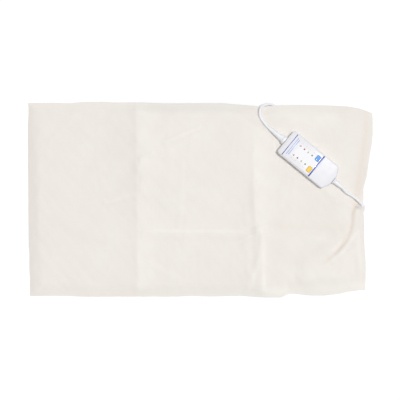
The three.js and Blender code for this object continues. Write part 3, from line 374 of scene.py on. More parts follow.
def jacket(name, colour, roughness):
    # Cord jacket: faint scuffs along the cord, on the map that runs with it
    look = jacketLook
    material, tree, shader = surface(name, colour, roughness, ior=look["ior"])
    scuffs = noiseOn(tree, look["scuffScale"], 4.0, look["stretch"], "UV")
    tinted(tree, shader, colour, fitted(tree, scuffs, 0.0, 1.0, *look["scuffRange"]), look["wear"])
    tree.links.new(fitted(tree, scuffs, roughness, roughness + look["duller"]), shader.inputs["Roughness"])
    bumped(tree, shader, noiseOn(tree, look["grain"], 2.0), look["bump"], look["depth"])
    return material


finish = {
    "cloth": wovenCloth("coverCloth", clothLook),
    "carrier": wovenCloth("carrierCloth", dict(
        clothLook, colour=(0.78, 0.78, 0.78), shade=(0.72, 0.72, 0.73), hem=(0.75, 0.75, 0.75), threads=210.0,
    )),
    "thread": moulded("sewingThread", (0.86, 0.82, 0.75), 0.7, grain=2500.0, depth=0.00002),
    "vinyl": moulded("vinylFilm", (0.80, 0.78, 0.71), 0.38, grain=420.0, depth=0.00008, coat=0.2),
    "foam": moulded("openFoam", (0.88, 0.85, 0.70), 0.95, grain=1400.0, depth=0.0003, wear=0.12),
    "wire": jacket("wireJacket", (0.62, 0.30, 0.09), 0.45),
    "shell": moulded("shellPlastic", (0.800, 0.793, 0.828), 0.40, depth=0.00002, wear=0.02, coat=0.15),
    "overlay": moulded(
        "overlayFilm", (0.865, 0.860, 0.884), 0.28, grain=500.0, depth=0.000004, wear=0.01, ior=1.32, coat=0.2,
    ),
    "printGrey": moulded("printedGrey", (0.30, 0.34, 0.48), 0.3, wear=0.1),
    "printBlue": moulded("printedBlue", (0.045, 0.075, 0.42), 0.3, wear=0.15),
    "printPale": moulded("printedPale", (0.34, 0.43, 0.78), 0.3, wear=0.15),
    "yellow": moulded("yellowKeyPlastic", (0.94, 0.63, 0.06), 0.52, wear=0.05, coat=0.1),
    "blue": moulded("blueKeyPlastic", (0.13, 0.36, 0.84), 0.52, wear=0.05, coat=0.1),
    "cord": jacket("cordJacket", (0.88, 0.885, 0.91), 0.42),
    "grip": moulded("mouldedGrip", (0.88, 0.885, 0.91), 0.42, wear=0.03),
    "board": moulded("boardLaminate", (0.02, 0.19, 0.06), 0.4, grain=1600.0, wear=0.3),
    "black": moulded("blackResin", (0.02, 0.02, 0.022), 0.45, wear=0.3),
    "film": moulded("capacitorShell", (0.03, 0.12, 0.45), 0.4),
    "can": moulded("capacitorSleeve", (0.035, 0.037, 0.045), 0.3),
    "fuse": moulded("fuseGlass", (0.70, 0.74, 0.70), 0.15, coat=0.5),
    "steel": moulded("screwSteel", (0.48, 0.50, 0.53), 0.32, grain=2200.0, metal=1.0),
    "brass": moulded("bladeBrass", (0.66, 0.46, 0.16), 0.28, grain=1800.0, metal=1.0),
    "button": moulded("plungerPlastic", (0.03, 0.03, 0.034), 0.6),
    "red": moulded("redLens", (0.42, 0.05, 0.07), 0.18, coat=0.6),
    "amber": moulded("amberLens", (0.68, 0.60, 0.30), 0.18, coat=0.6),
    "green": moulded("greenLens", (0.10, 0.28, 0.12), 0.18, coat=0.6),
}
print("materials done")


# Cords: points of their routes in millimetres, first on the controller and then on the table
controller = dict(place=(217.6, 77.9, 10.7), turn=50.7)
turnCos, turnSin = math.cos(math.radians(controller["turn"])), math.sin(math.radians(controller["turn"]))


def onController(points):
    u, v, w = np.atleast_2d(np.asarray(points, float)).T
    place = np.stack([turnCos * u - turnSin * v, turnSin * u + turnCos * v, w], axis=1)
    return (place + controller["place"]) * mm


mainsLead = dict(
    diameter=6.0, step=2.5, sides=16, exit=(0, 102.6, 10),
    sleeve=[(0, 88, 10), (0, 96, 10), (0, 102.6, 10), (0, 108.6, 10)],
    route=[
        (126.6, 155, 23), (120.4, 165, 24.4), (118.8, 175.5, 24.5), (121, 183, 22.4), (126.4, 188.2, 17),
        (135.5, 191, 9.8), (144.5, 190.2, 5), (151.5, 185.2, 3.5), (152.4, 177.5, 3.3), (145.6, 170.6, 3.3),
        (134, 168.2, 3.3), (110, 168, 3.2), (80, 168, 3.1), (50, 168, 3.1), (28.3, 168, 3.1), (22.3, 168, 3.1),
    ],
    coilCentre=(16, 118), coilRadius=50, coilPitch=6.6, coilTurns=10, coilPoints=24, low=3.1, high=9.7, climbTurns=0.5,
    plugRun=[
        (9.7, 168, 9.7), (3.7, 168, 9.7), (-26, 165, 8.6), (-43, 156.5, 7.2), (-55, 146.3, 6.3), (-55, 140.3, 6.3),
    ],
)
padLead = dict(
    diameter=6.0, step=2.0, sides=20, exit=(0, -80.6, 10),
    sleeve=[(0, -66, 10), (0, -74, 10), (0, -80.6, 10), (0, -86.6, 10)],
    route=[
        (291.1, 15.6, 18.4), (303.7, 7.9, 15), (312.9, 1.2, 13.2), (319.8, -5.2, 12.2), (325, -11, 9.8),
        (327, -17.6, 6.8), (323.8, -24.2, 4.9), (318.3, -31, 4.6), (314.6, -44.5, 4.6), (310.2, -61, 4.7),
        (303.2, -77, 5.2), (294.2, -91, 8.2), (283.2, -103.2, 12.3), (271.5, -113.5, 12.5), (254.1, -125.7, 12.5),
        (248.6, -128.3, 12.5),
    ],
)


def coilPath(lead):
    # Wound inwards on the lower layer, then outwards on the upper one
    points, climbTurns = [], lead["climbTurns"]
    for k in range(1, lead["coilTurns"] * lead["coilPoints"]):
        turn = k / lead["coilPoints"]
        angle = math.pi / 2 + 2 * math.pi * turn
        radius = lead["coilRadius"] - lead["coilPitch"] * min(turn, lead["coilTurns"] - turn)
        climb = float(smoothStep((turn - lead["coilTurns"] / 2 + climbTurns / 2) / climbTurns))
        x, y = lead["coilCentre"]
        points.append((
            x + radius * math.cos(angle), y + radius * math.sin(angle),
            lead["low"] + (lead["high"] - lead["low"]) * climb,
        ))
    return points


def lengthOf(path):
    return float(np.linalg.norm(np.diff(path, axis=0), axis=1).sum())


def cordOf(name, lead, more=()):
    points = np.vstack([onController(lead["sleeve"]), np.array([*lead["route"], *more]) * mm])
    path = throughPoints(points, lead["step"] * mm)
    return path, tubeMesh(name, path, lead["diameter"] * mm / 2, lead["sides"], finish["cord"])


mainsPath, mainsCord = cordOf("mainsCord", mainsLead, coilPath(mainsLead) + mainsLead["plugRun"])
padPath, padCord = cordOf("padCord", padLead)
print("cords done", round(lengthOf(mainsPath), 3), round(lengthOf(padPath), 3))


# Levels: how high the whole pad is carried by the stored cord and the lead beneath it
carried = dict(
    coilLift=13.2, coilCore=55, run=80, moreRun=60, moreFrom=90, moreOver=120,
    plugFrom=(-55, 140), plugTo=(-55, 86), plugCore=18, leadLift=9.8, leadRun=45,
    hemFrom=172, hemOver=26, hemShare=0.6, blend=1.5, least=0.02,
    leadLine=[(121, 183), (126, 188), (135, 190), (150, 186), (152, 178), (145, 170), (134, 168), (80, 168)],
)


def toSegment(x, y, a, b):
    ax, ay, bx, by = *a, *b
    share = np.clip(((x - ax) * (bx - ax) + (y - ay) * (by - ay)) / ((bx - ax) ** 2 + (by - ay) ** 2), 0, 1)
    return np.hypot(x - ax - share * (bx - ax), y - ay - share * (by - ay))


def toLine(x, y, line):
    return np.min([toSegment(x, y, a, b) for a, b in zip(line, line[1:])], axis=0)


def higher(a, b, soft):
    # The higher of two levels, with a soft change between them
    gap = np.clip(0.5 + (a - b) / (2 * soft), 0, 1)
    return b + (a - b) * gap + soft * gap * (1 - gap)


def liftAt(x, y):
    x, y = np.asarray(x, float), np.asarray(y, float)
    coil = np.hypot(x - mainsLead["coilCentre"][0], y - mainsLead["coilCentre"][1]) - carried["coilCore"]
    plug = toSegment(x, y, carried["plugFrom"], carried["plugTo"]) - carried["plugCore"]
    away = np.maximum(0, np.minimum(coil, plug))
    run = carried["run"] + carried["moreRun"] * smoothStep((carried["moreFrom"] - x) / carried["moreOver"])
    mound = carried["coilLift"] * smoothStep(1 - away / run)
    mound = mound * (1 - carried["hemShare"] * smoothStep((y - carried["hemFrom"]) / carried["hemOver"]))
    lead = carried["leadLift"] * smoothStep(1 - toLine(x, y, carried["leadLine"]) / carried["leadRun"])
    both = higher(mound, lead, carried["blend"]) - carried["blend"] / 4 * (np.abs(mound - lead) < 1e-9)
    return np.where(np.maximum(mound, lead) > carried["least"], both, 0)


def gridPoints(x, y, *levels):
    return np.concatenate([np.stack([x, y, z], axis=-1).reshape(-1, 3) for z in levels]) * mm


# Heater: two welded vinyl sheets with foam, a carrier and its wire between them
def slab(name, xs, ys, low, high, material, gaps=()):
    # A closed sheet over a grid, with through pockets where gaps name them
    xs, ys = np.array(xs, float), np.array(ys, float)
    gridX, gridY = np.meshgrid(xs, ys, indexing="ij")
    points = gridPoints(gridX, gridY, *(np.broadcast_to(f(gridX, gridY), gridX.shape) for f in (low, high)))
    rows, columns = len(xs), len(ys)
    midX, midY = (xs[1:] + xs[:-1]) / 2, (ys[1:] + ys[:-1]) / 2
    solid = np.ones((rows - 1, columns - 1), bool)
    for x0, y0, x1, y1 in gaps:
        solid &= ~np.outer((midX > x0) & (midX < x1), (midY > y0) & (midY < y1))
    half, faces = rows * columns, []

    def at(i, j, side):
        return i * columns + j + side * half

    for i in range(rows - 1):
        for j in range(columns - 1):
            if not solid[i, j]:
                continue
            ring = [(i, j), (i + 1, j), (i + 1, j + 1), (i, j + 1)]
            faces.append([at(*p, 1) for p in ring])
            faces.append([at(*p, 0) for p in reversed(ring)])
            for (a, b), (di, dj) in zip(zip(ring, ring[1:] + ring[:1]), ((0, -1), (1, 0), (0, 1), (-1, 0))):
                ni, nj = i + di, j + dj
                if 0 <= ni < rows - 1 and 0 <= nj < columns - 1 and solid[ni, nj]:
                    continue
                faces.append([at(*a, 0), at(*b, 0), at(*b, 1), at(*a, 1)])
    obj = meshPiece(name, points, faces, material)
    loose = bmesh.new()
    loose.from_mesh(obj.data)
    bmesh.ops.delete(loose, geom=[v for v in loose.verts if not v.link_faces], context="VERTS")
    loose.to_mesh(obj.data)
    loose.free()
    return obj


def linesOver(low, high, step, extra=()):
    # Even lines with the extra ones among them, and none of the even ones too near to those
    even, tooNear = np.linspace(low, high, max(2, round((high - low) / step)) + 1), step * 0.3
    kept = [v for v in even if all(abs(v - e) > tooNear for e in extra)]
    return sorted(set(kept) | set(extra))


heater = dict(
    west=-328, east=282, half=178, step=7.0, flange=4.0, rise=14.0,
    vinylBack=(1.5, 2.1), vinylFront=(8.3, 8.9), flangeFront=(2.15, 2.75),
    foam=(2.4, 5.0), carrier=(5.3, 6.1), foamInset=11.0, carrierInset=13.0,
    wire=1.6, wireLevel=7.2, wireWest=-296, wireEast=250, wireStep=4.0, wireSides=8, rowPoints=36, turnPoints=9,
    rows=(-150.06, -122.1, -94.2, -66.25, -42.5, -18.75, 5, 33.5, 62, 91, 120, 149),
    cutouts=((-132.8, -30.6), (184.4, -30.6)), pocket=(15.6, 7.1),
)


def insideHeater(x, y):
    return np.minimum(np.minimum(x - heater["west"], heater["east"] - x), heater["half"] - np.abs(y))


def vinylFrontLevel(x, y, side):
    rise = smoothStep((insideHeater(x, y) - heater["flange"]) / heater["rise"])
    low, high = heater["flangeFront"][side], heater["vinylFront"][side]
    return low + (high - low) * rise + liftAt(x, y)


pockets = []
for cx, cy in heater["cutouts"]:
    w, h = heater["pocket"]
    pockets.append((cx - w / 2, cy - h / 2, cx + w / 2, cy + h / 2))
pocketX = [v for p in pockets for v in (p[0], p[2])]
pocketY = [v for p in pockets[:1] for v in (p[1], p[3])]


def nodeSpan(node):
    low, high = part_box(node)
    return low[0] / mm, low[1] / mm, high[0] / mm, high[1] / mm


def flat(level):
    return lambda x, y: level + liftAt(x, y)


def weldedLines(low, high):
    return linesOver(low, high, heater["step"], (low + heater["flange"], high - heater["flange"]))


vinylX, vinylY = weldedLines(heater["west"], heater["east"]), weldedLines(-heater["half"], heater["half"])
vinylBack = slab("vinylBack", vinylX, vinylY, *map(flat, heater["vinylBack"]), finish["vinyl"])
vinylFront = slab(
    "vinylFront", vinylX, vinylY, lambda x, y: vinylFrontLevel(x, y, 0), lambda x, y: vinylFrontLevel(x, y, 1),
    finish["vinyl"],
)
layers = {}
for name, node, levels, material, inset in (
    ("foamLayer", "foam_layer", heater["foam"], "foam", heater["foamInset"]),
    ("carrierCloth", "element_carrier", heater["carrier"], "carrier", heater["carrierInset"]),
):
    # Kept inside the weld, where the front vinyl is low
    x0, y0, x1, y1 = np.add(nodeSpan(node), (inset, inset, -inset, -inset))
    layers[name] = slab(
        name, linesOver(x0, x1, heater["step"], pocketX), linesOver(y0, y1, heater["step"], pocketY),
        *map(flat, levels), finish[material], pockets,
    )


def wireRoute():
    # Rows joined by round turns, end to end
    points, rows = [], heater["rows"]
    for k, y in enumerate(rows):
        ends = (heater["wireWest"], heater["wireEast"]) if k % 2 == 0 else (heater["wireEast"], heater["wireWest"])
        nextY = rows[k + 1] if k + 1 < len(rows) else None
        before = rows[k - 1] if k else None
        out = 1 if k % 2 == 0 else -1
        start = ends[0] + out * ((y - before) / 2 if before is not None else 0)
        stop = ends[1] - out * ((nextY - y) / 2 if nextY is not None else 0)
        points += [(x, y) for x in np.linspace(start, stop, heater["rowPoints"])]
        if nextY is not None:
            radius, middle = (nextY - y) / 2, (nextY + y) / 2
            for a in np.linspace(-90, 90, heater["turnPoints"])[1:-1]:
                turn = math.radians(a)
                points.append((stop + out * radius * math.cos(turn), middle + radius * math.sin(turn)))
    plan = np.array(points)
    level = heater["wireLevel"] + liftAt(plan[:, 0], plan[:, 1])
    return np.column_stack([plan, level]) * mm


heatingWire = tubeMesh(
    "heatingWire", throughPoints(wireRoute(), heater["wireStep"] * mm), heater["wire"] * mm / 2, heater["wireSides"],
    finish["wire"],
)
print("heater done")


# Cover: two cloth panels in a soft waved outline, sewn on three sides and open on the right
cover = dict(
    length=691.0, width=393.0, thick=1.2, backLow=0.0, frontLow=9.2, edgeLow=1.25, step=3.2, fitRounds=12, sharpFrom=55,
    finerY=((-30, 8, 2.0),), seamRun=27.0, seamFlat=0.6, flatOver=40, seamTone=0.15, toneRun=4, toneReach=10,
    top=([0, .12], [.07, .08], [.115, .12], [.165, .02], [.217, 0], [.246, .06], [.33, .06], [.36, .12], [.42, .16],
         [.535, .155], [.565, .145], [.593, .235], [.651, .36], [.679, .478], [.702, .391], [.738, .33], [.789, .27],
         [.919, .391], [.957, .564], [.991, .912], [1, 1]),
    bottom=([0, .243], [.1, .24], [.18, .14], [.3, .15], [.42, .15], [.478, .22], [.53, .165], [.6, .22], [.616, .245],
            [.64, .17], [.7, .03], [.735, .06], [.757, .45], [.774, .486], [.803, .34], [.83, .265], [.85, .27],
            [.894, .44], [.93, .74], [.977, .969], [1, 1]),
    left=([0, .8], [.09, .86], [.15, .64], [.21, .6], [.28, .4], [.4, .32], [.52, .27], [.7, .19], [.88, .16],
          [.94, .36], [.965, .36], [1, 0]),
    right=([0, .617], [.142, .54], [.295, .655], [.40, .70], [.435, .72], [.452, .70], [.462, .745], [.472, .935],
           [.482, .78], [.51, .71], [.55, .72], [.588, .59], [.628, .44], [.71, .27], [.75, .17], [.8, .05], [.845, 0],
           [.9, 0], [.94, .04], [1, .04]),
    topIn=23.0, bottomIn=16.5, leftIn=6.0, rightIn=26.0, topTurn=(.675, 121.0), rightTurn=(.455, -17.6),
    mouthLow=2.6, mouthRun=60.0, rimWide=6.0, rimSharp=2.4, rimRise=1.3, rimFade=14.0,
    ridgeSteep=7.0, ridgeGentle=15.0, ridgeRoom=1.6, ridgeEvery=3, ridgeFrom=(-9.0, 7.0), ridgeOther=2.6,
    ridgeCore=((-140, 2.6), (-104, 3.0), (-80, 3.6), (-52, 5.0), (-24, 11.0), (10, 13.0)),
    blockPlace=(240.0, -133.0), blockLine=((251, -127), (230, -140)), blockSide=(-0.54, 0.84), blockTurn=(0.35, 1.8),
    blockCore=10.5, blockTop=16.4, blockRun=75.0, blockSteep=42.0,
    blockSeam=16.0, blockSeamFrom=(110, -90), blockSeamOver=(60, 40), heldRoom=4, heldOver=20,
)

# The fold inside the open end, running on beside the lead: place, half width, share of painted shade and depth
foldLine = np.array([
    (335, 196, 5, 0.2, 0.3), (331.5, 173, 6, 0.5, 1.0), (329, 120, 6.5, 0.6, 1.2), (321.5, 60, 8, 0.8, 1.3),
    (314.5, 20, 8, 0.9, 1.3), (307, -24, 4.5, 1, 0.6), (303.5, -52, 4.0, 1, 0.4), (291.5, -80, 3.6, 1, 0.4),
    (273, -104, 3.4, 0.9, 0.3), (254, -121, 3.0, 0.7, 0.2), (240, -128, 3.4, 0, 0),
], float)
last, finer = len(foldLine) - 1, 16
foldPlaces = np.linspace(0, last, finer * last + 1)
foldLine = np.stack([np.interp(foldPlaces, np.arange(last + 1), column) for column in foldLine.T], axis=1)
halfLength, halfWidth = cover["length"] / 2, cover["width"] / 2


def topEdge(x):
    share, place = cover["topTurn"]
    return halfWidth - cover["topIn"] * follow(cover["top"], share + (x - place) / cover["length"])


def bottomEdge(x):
    return cover["bottomIn"] * follow(cover["bottom"], (x + halfLength) / cover["length"]) - halfWidth


def leftEdge(y):
    return cover["leftIn"] * follow(cover["left"], (y + halfWidth) / cover["width"]) - halfLength


def rightEdge(y):
    share, place = cover["rightTurn"]
    return halfLength - cover["rightIn"] * follow(cover["right"], share + (y - place) / cover["width"])


def coverLines(size, zones):
    # Lines over one side of the cover, closer together where its shape turns sharply
    lines = [-size / 2]
    while lines[-1] < size / 2:
        steps = [step for low, high, step in zones if low <= lines[-1] <= high]
        lines.append(lines[-1] + min(steps + [cover["step"]]))
    return np.array(lines[:-1] + [size / 2]) / size + 0.5


shareLinesX = coverLines(cover["length"], ())
shareLinesY = coverLines(cover["width"], cover["finerY"])
columns, rows = len(shareLinesX), len(shareLinesY)
shareX, shareY = np.meshgrid(shareLinesX, shareLinesY, indexing="ij")
coverX, coverY = (shareX - 0.5) * cover["length"], (shareY - 0.5) * cover["width"]
for _ in range(cover["fitRounds"]):
    coverX = leftEdge(coverY) + shareX * (rightEdge(coverY) - leftEdge(coverY))
    coverY = bottomEdge(coverX) + shareY * (topEdge(coverX) - bottomEdge(coverX))
fromRight = rightEdge(coverY) - coverX
fromSeam = np.minimum(np.minimum(coverX - leftEdge(coverY), topEdge(coverX) - coverY), coverY - bottomEdge(coverX))

# Each crease: its two ends, its height, and how far it runs towards the lamp and away from it.
# Each band of painted light, lighter where creases and seams face the lamp, and each band of painted shade, darker
# beside the creases, the lead and the edges: its two ends, how far it runs on those sides, and its share of the tone.
creases = dict(
    lampSide=(0.91, 0.42), seamFade=20.0, mouthFade=25.0, base=0.35, waveShare=0.5, toneBase=0.85, toneWave=0.25,
    lines=[
        ((-123, 196), (-121, 60), 2.2, 34, 12), ((-121, 60), (-121, -190), 1.7, 30, 12),
        ((111, 100), (113, 20), 1.7, 28, 12), ((113, 20), (118, -58), 2.0, 24, 11),
        ((121, -60), (124, -192), 3.2, 6, 9), ((-112, -64), (84, -63), 2.4, 8, 9), ((84, -63), (240, -72), 1.2, 9, 14),
        ((-70, 115), (-2, 143), 1.9, 5.5, 6), ((-120, 83), (-97, 91), 1.8, 4.5, 5), ((-97, 91), (-22, 136), 0.9, 7, 8),
        ((-190, -6), (-136, 9), 1.5, 6, 7), ((-100, -130), (-48, -157), 1.5, 5, 6),
        ((80, -75), (126, -52), 2.2, 4, 4.5), ((88, -90), (124, -66), 1.5, 4, 5), ((98, -50), (122, -44), 1.2, 4, 5),
        ((92, -192), (116, -124), 1.7, 7, 8), ((116, -188), (94, -140), 1.1, 6, 6), ((-72, -8), (4, 12), 0.8, 8, 9),
        ((-220, 128), (-140, 138), 0.7, 8, 9), ((-300, 88), (-200, 66), 0.8, 8, 9),
        ((-260, -60), (-130, -90), 0.9, 9, 10), ((150, -100), (214, -92), 0.9, 8, 9),
        ((268, -62), (304, -92), 1.0, 6, 7), ((296, -170), (318, -96), 1.4, 7, 8), ((258, 60), (296, 92), 0.9, 8, 8),
        ((206, 150), (262, 172), 1.1, 12, 12), ((-330, 120), (-320, -60), 0.6, 9, 12),
    ],
    # Painted light: lighter on the lamp side of creases, on the lit side of the lead's ridge, over broad lit areas and
    # along the seams
    paintedLight=[
        ((-126, 196), (-124, 40), 46, 4, 0.72), ((-124, 40), (-123, -192), 34, 4, 0.6),
        ((108, 90), (113, -52), 36, 4, 0.75), ((125, -58), (128, -192), 5, 4, 1.0),
        ((122, -58), (124, -192), 24, 8, 0.45), ((-112, -62), (84, -63), 5, 8, 0.72),
        ((-112, -70), (110, -72), 2.5, 3, 0.5), ((110, -72), (250, -78), 8, 10, 0.35),
        ((-70, 115), (-2, 143), 5, 4, 0.75), ((-190, -6), (-136, 9), 6, 4, 0.35), ((92, -192), (116, -124), 8, 5, 0.6),
        ((312, -66), (285, -104), 3.5, 3.5, 0.8), ((285, -104), (264, -122), 3.5, 3.5, 0.8),
        ((284, -82), (262, -102), 3, 3, 0.5), ((130, -188), (325, -178), 18, 18, 1.0),
        ((-345, 200), (-345, -200), 16, 16, 0.7), ((196, 165), (256, 160), 20, 16, 0.55),
        ((316, -64), (322, -150), 5, 7, 0.5), ((180, -150), (290, -150), 34, 34, 0.5),
        ((180, 0), (190, -110), 34, 34, 0.35), ((-330, 194), (110, 190), 10, 10, 0.45),
        ((-320, -192), (150, -192), 12, 12, 0.7), ((-30, 110), (0, -20), 90, 90, 0.33),
    ],
    # Painted shade: darker in the shade beside creases and folds, near the lead's entry, and along the left edge and
    # the seams near it
    paintedShade=[
        ((311, -112), (316, -150), 5, 5, 0.3), ((281, -128), (276, -142), 6, 6, 0.25),
        ((-350, 200), (-350, -200), 50, 5, 0.28), ((-320, 195), (-140, 200), 22, 9, 0.10),
        ((-320, -195), (-150, -196), 16, 9, 0.12), ((100, 70), (106, -40), 3, 18, 0.14),
        ((-131, 190), (-129, -180), 3, 26, 0.10), ((-110, -80), (90, -81), 3, 3, 0.16),
        ((140, -53), (285, -58), 10, 10, 0.3),
    ],
    waves=[
        (0.50, 0.0113, 0.0197, 0.7), (0.35, 0.0241, -0.0173, 2.1), (0.22, 0.0437, 0.0331, 4.0),
        (0.10, 0.091, -0.071, 1.0),
    ],
)


def runFrom(x, y, a, b, sunny, shady):
    # Distance from a line over how far it runs on that side
    normal = np.array([a[1] - b[1], b[0] - a[0]], float)
    signed = ((x - a[0]) * normal[0] + (y - a[1]) * normal[1]) * normal.dot(creases["lampSide"])
    return toSegment(x, y, a, b) / np.where(signed > 0, sunny, shady)


def creaseAt(x, y):
    return sum(
        tall * np.exp(-(runFrom(x, y, a, b, sunny, shady) ** 2)) for a, b, tall, sunny, shady in creases["lines"]
    )


def waveAt(x, y):
    return sum(tall * np.sin(2 * np.pi * (fx * x + fy * y) + phase) for tall, fx, fy, phase in creases["waves"])


def toneAt(x, y, lines):
    tones = [share * np.exp(-(runFrom(x, y, a, b, sunny, shady) ** 2)) for a, b, sunny, shady, share in lines]
    return np.clip(np.max(tones, axis=0) * (creases["toneBase"] + creases["toneWave"] * waveAt(x, y)), 0, 1)


def nearestOn(x, y, line):
    # Which point of a line is nearest to each place, and how far away it is
    gaps = np.hypot(x[..., None] - line[:, 0], y[..., None] - line[:, 1])
    nearest = np.argmin(gaps, axis=-1)
    return nearest, np.take_along_axis(gaps, nearest[..., None], -1)[..., 0]


def foldAt(x, y, column):
    nearest, gap = nearestOn(x, y, foldLine)
    return foldLine[nearest, column] * np.exp(-((gap / foldLine[nearest, 2]) ** 2))


def overRidge(x, y, level):
    # Raised over the lead, with a steep side and a gentle one
    c = cover
    route = padPath[:: c["ridgeEvery"]] / mm
    route = route[route[:, 1] < c["ridgeFrom"][0]]
    nearest, gap = nearestOn(x, y, route)
    top = (route[:, 2] + padLead["diameter"] / 2 + c["ridgeRoom"])[nearest]
    heading = np.gradient(route[:, :2], axis=0)[nearest]
    left = heading[..., 0] * (y - route[nearest, 1]) - heading[..., 1] * (x - route[nearest, 0]) < 0
    core = np.where(left, np.interp(y, *zip(*c["ridgeCore"])), c["ridgeOther"])
    side = smoothStep(1 - np.maximum(0, gap - core) / np.where(left, c["ridgeSteep"], c["ridgeGentle"]))
    begin, over = c["ridgeFrom"]
    side = side * smoothStep((begin - y) / over)
    return np.maximum(level, level + (top - level) * side), gap


def overBlock(x, y, level):
    # Raised over the entry block, steeper on one side
    c = cover
    blockX, blockY = x - c["blockPlace"][0], y - c["blockPlace"][1]
    facing = (blockX * c["blockSide"][0] + blockY * c["blockSide"][1]) / (np.hypot(blockX, blockY) + 1e-6)
    begin, sharp = c["blockTurn"]
    run = c["blockRun"] + (c["blockSteep"] - c["blockRun"]) * smoothStep((facing + begin) * sharp)
    away = toSegment(x, y, *c["blockLine"]) - c["blockCore"]
    side = smoothStep(1 - np.maximum(0, away) / run)
    return np.maximum(level, level + (c["blockTop"] - level) * side), away


def frontLevels(x, y, seam, mouth):
    # Lower towards the open end, over the lead and its block, round at the seams, carried by what lies beneath
    c = cover
    level = c["mouthLow"] + (c["frontLow"] - c["mouthLow"]) * smoothStep(mouth / c["mouthRun"])
    level, gap = overRidge(x, y, level)
    level, away = overBlock(x, y, level)
    (fromX, fromY), (overX, overY) = c["blockSeamFrom"], c["blockSeamOver"]
    more = c["blockSeam"] * smoothStep((x - fromX) / overX) * smoothStep((fromY - y) / overY)
    near = np.clip(seam / (c["seamRun"] + more), 0, 1)
    flat = c["seamFlat"] * (0.5 + 0.5 * smoothStep((x + halfLength) / c["flatOver"]))
    rounded = flat * smoothStep(near) + (1 - flat) * (1 - (1 - near) ** 2)
    level = c["edgeLow"] + (level - c["edgeLow"]) * rounded
    rim = np.exp(-(((mouth - c["rimWide"] / 2) / (c["rimWide"] / c["rimSharp"])) ** 2))
    level = level + smoothStep(seam / c["rimFade"]) * (c["rimRise"] * rim - foldAt(x, y, 4))
    held = smoothStep(1 - np.minimum(gap, np.maximum(away, 0) + c["heldRoom"]) / c["heldOver"])
    return level + liftAt(x, y), held


def gridFaces(across, along):
    return [
        (i * along + j, (i + 1) * along + j, (i + 1) * along + j + 1, i * along + j + 1)
        for i in range(across - 1) for j in range(along - 1)
    ]


def panel(name, low, thick, material, foldShadeShare=0.0):
    # A closed two-layer sheet over the cover's grid
    count, faces = columns * rows, []
    for face in gridFaces(columns, rows):
        faces += [tuple(v + count for v in face), face[::-1]]
    ring = [i * rows for i in range(columns)] + [(columns - 1) * rows + j for j in range(1, rows)]
    ring += [i * rows + rows - 1 for i in range(columns - 2, -1, -1)] + [j for j in range(rows - 2, 0, -1)]
    faces += [(a, b, b + count, a + count) for a, b in zip(ring, ring[1:] + ring[:1])]
    obj = meshPiece(name, gridPoints(coverX, coverY, low, low + thick), faces, material)
    obj.data.set_sharp_from_angle(angle=math.radians(cover["sharpFrom"]))
    # Darker along the left seam, within a few millimetres of it
    seams = cover["seamTone"] * smoothStep(1 - (fromSeam - cover["toneRun"]) / cover["toneRun"])
    seams = seams * (coverX < leftEdge(coverY) + cover["toneReach"])
    # Painted shade along the fold beside the lead, joined with the darker left seam
    hem = np.maximum(foldShadeShare * foldAt(coverX, coverY, 3), seams)
    # Painted shade and painted light, laid as attributes for the cloth's colour
    tones = dict(
        hem=np.maximum(hem, toneAt(coverX, coverY, creases["paintedShade"])),
        paintedLight=toneAt(coverX, coverY, creases["paintedLight"]),
    )
    for attribute, share in tones.items():
        layer = obj.data.attributes.new(attribute, "FLOAT", "POINT")
        layer.data.foreach_set("value", np.concatenate([share.reshape(-1)] * 2))
    return obj


drape = dict(
    every=2, frames=26, quality=5, slack=0.0040, mass=0.20, stretch=18.0, bending=2.5, skin=0.0003, friction=20,
    room=0.35, sink=0.25, rise=3.0, pinnedFrom=2, pinned=9.0, mouthFrom=4, mouthOver=12, grip=0.9, leastGrip=0.001,
    smoothings=3,
)


